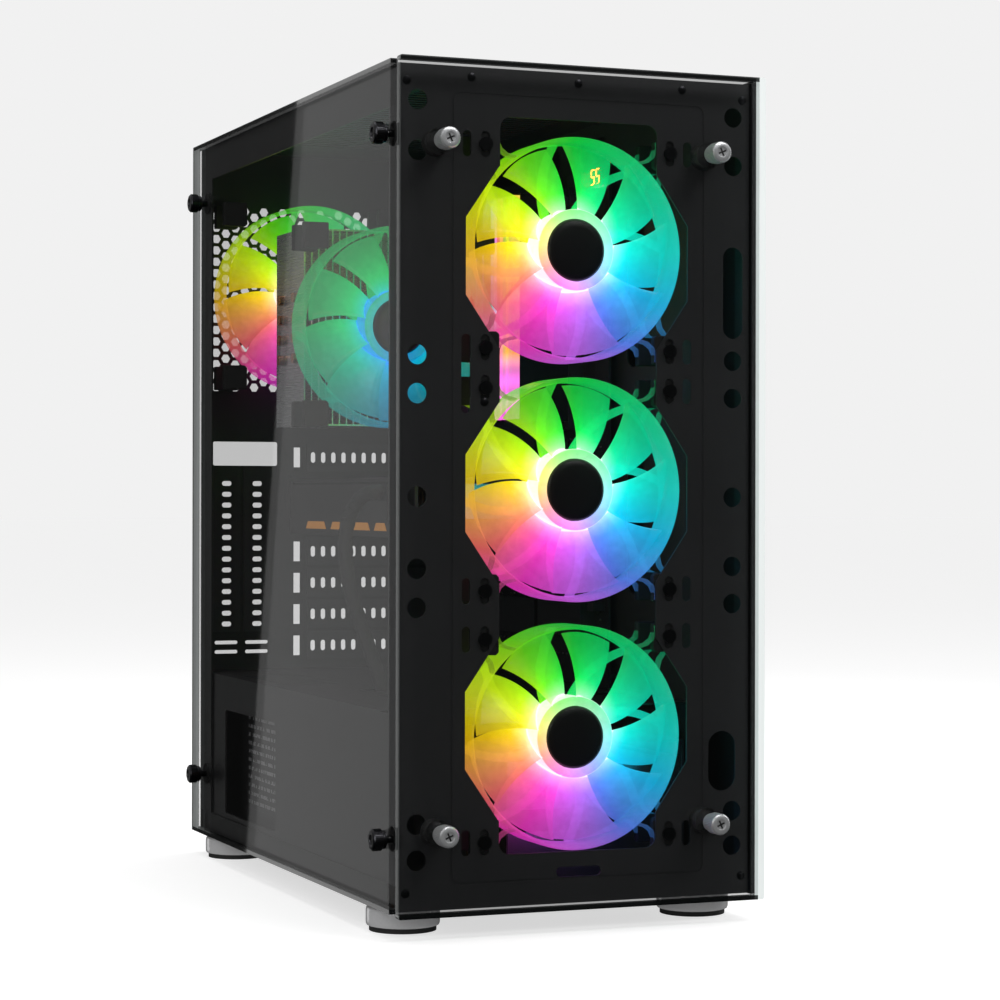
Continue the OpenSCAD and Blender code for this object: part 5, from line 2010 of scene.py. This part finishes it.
def build_fans(bench: Bench) -> None:
    """Builds every fan.

    Args:
        bench: The shared bench.
    """
    for name, z, strength in (("top", 356.8, 3.9), ("middle", 230.8, 3.7), ("bottom", 100.8, 3.4)):
        CaseFan(
            bench,
            f"front_fan_{name}",
            (0.35, 13.0, z),
            f"front_fan_frame_{name}",
            f"front_fan_rotor_{name}",
            strength,
        ).build()
    rear = bench.datum.box("rear_fan_rotor")
    cooler = bench.datum.box("cooler_fan_rotor")
    for name, box, strength in (("rear", rear, 2.4), ("cooler", cooler, 2.2)):
        middle = (box[0] + box[1]) / 2
        fan = CaseFan(
            bench,
            f"{name}_fan",
            (middle.x, box[0].y - 2.0, middle.z),
            f"{name}_fan_frame",
            f"{name}_fan_rotor",
            strength,
            alpha=0.88,
            prongs=False,
        )
        if name == "cooler":
            fan.wheel, fan.core = tuple(SEA), linear(0, 120, 255)
        fan.build()
    plain = (("graphics_fan_front", 42, 15, 11), ("graphics_fan_rear", 42, 15, 11), ("psu_fan_rotor", 56, 20, 9))
    for node, tip, hub, count in plain:
        lo, hi = bench.datum.box(node)
        middle = (lo + hi) / 2
        top = {"psu_fan_rotor": 16.0}.get(node, 6.6)
        PlainRotor(bench, node, tip, hub, 0.0, top, (middle.x, middle.y, lo.z), count).build()


def build_screws(bench: Bench) -> None:
    """Builds the ten thumbscrews.

    Args:
        bench: The shared bench.
    """
    glass = bench.datum.box("front_glass")
    side = bench.datum.box("side_glass")
    for node in ("front_screw_top_left", "front_screw_top_right", "front_screw_low_left", "front_screw_low_right"):
        lo, hi = bench.datum.box(node)
        mid = (lo + hi) / 2
        ThumbScrew(bench, node, Facing.FRONT, (mid.x, glass[0].y, mid.z), 5.65, 13.0, 17.0, "bright screw", "bright_screw").build()
    for node in ("side_screw_top_front", "side_screw_top_rear", "side_screw_low_front", "side_screw_low_rear"):
        lo, hi = bench.datum.box(node)
        mid = (lo + hi) / 2
        ThumbScrew(bench, node, Facing.LEFT, (side[0].x, mid.y, mid.z), 5.75, 7.6, 6.5, "black screw", "black_screw").build()
    for node in ("right_screw_top", "right_screw_low"):
        lo, hi = bench.datum.box(node)
        mid = (lo + hi) / 2
        ThumbScrew(bench, node, Facing.BACK, (mid.x, hi.y - 7.5, mid.z), 5.75, 7.5, 10.0, "black screw", "black_screw").build()


def main() -> None:
    """Builds the tower and its studio."""
    logging.basicConfig(level=logging.INFO, format="%(name)s: %(message)s")
    Studio().build()
    bench = Bench(Datum.from_glass(), Patterns(), make_finishes())
    dress_nodes(bench)
    build_fans(bench)
    build_screws(bench)
    for part in (Feet, CardLead, BoardParts, CodeDisplay, CardTrim, SupplyLabel, BackPorts, FrontDetails):
        part(bench).build()
    LOG.info("%d pieces made", len(bench.made))


if __name__ == "__main__":
    main()
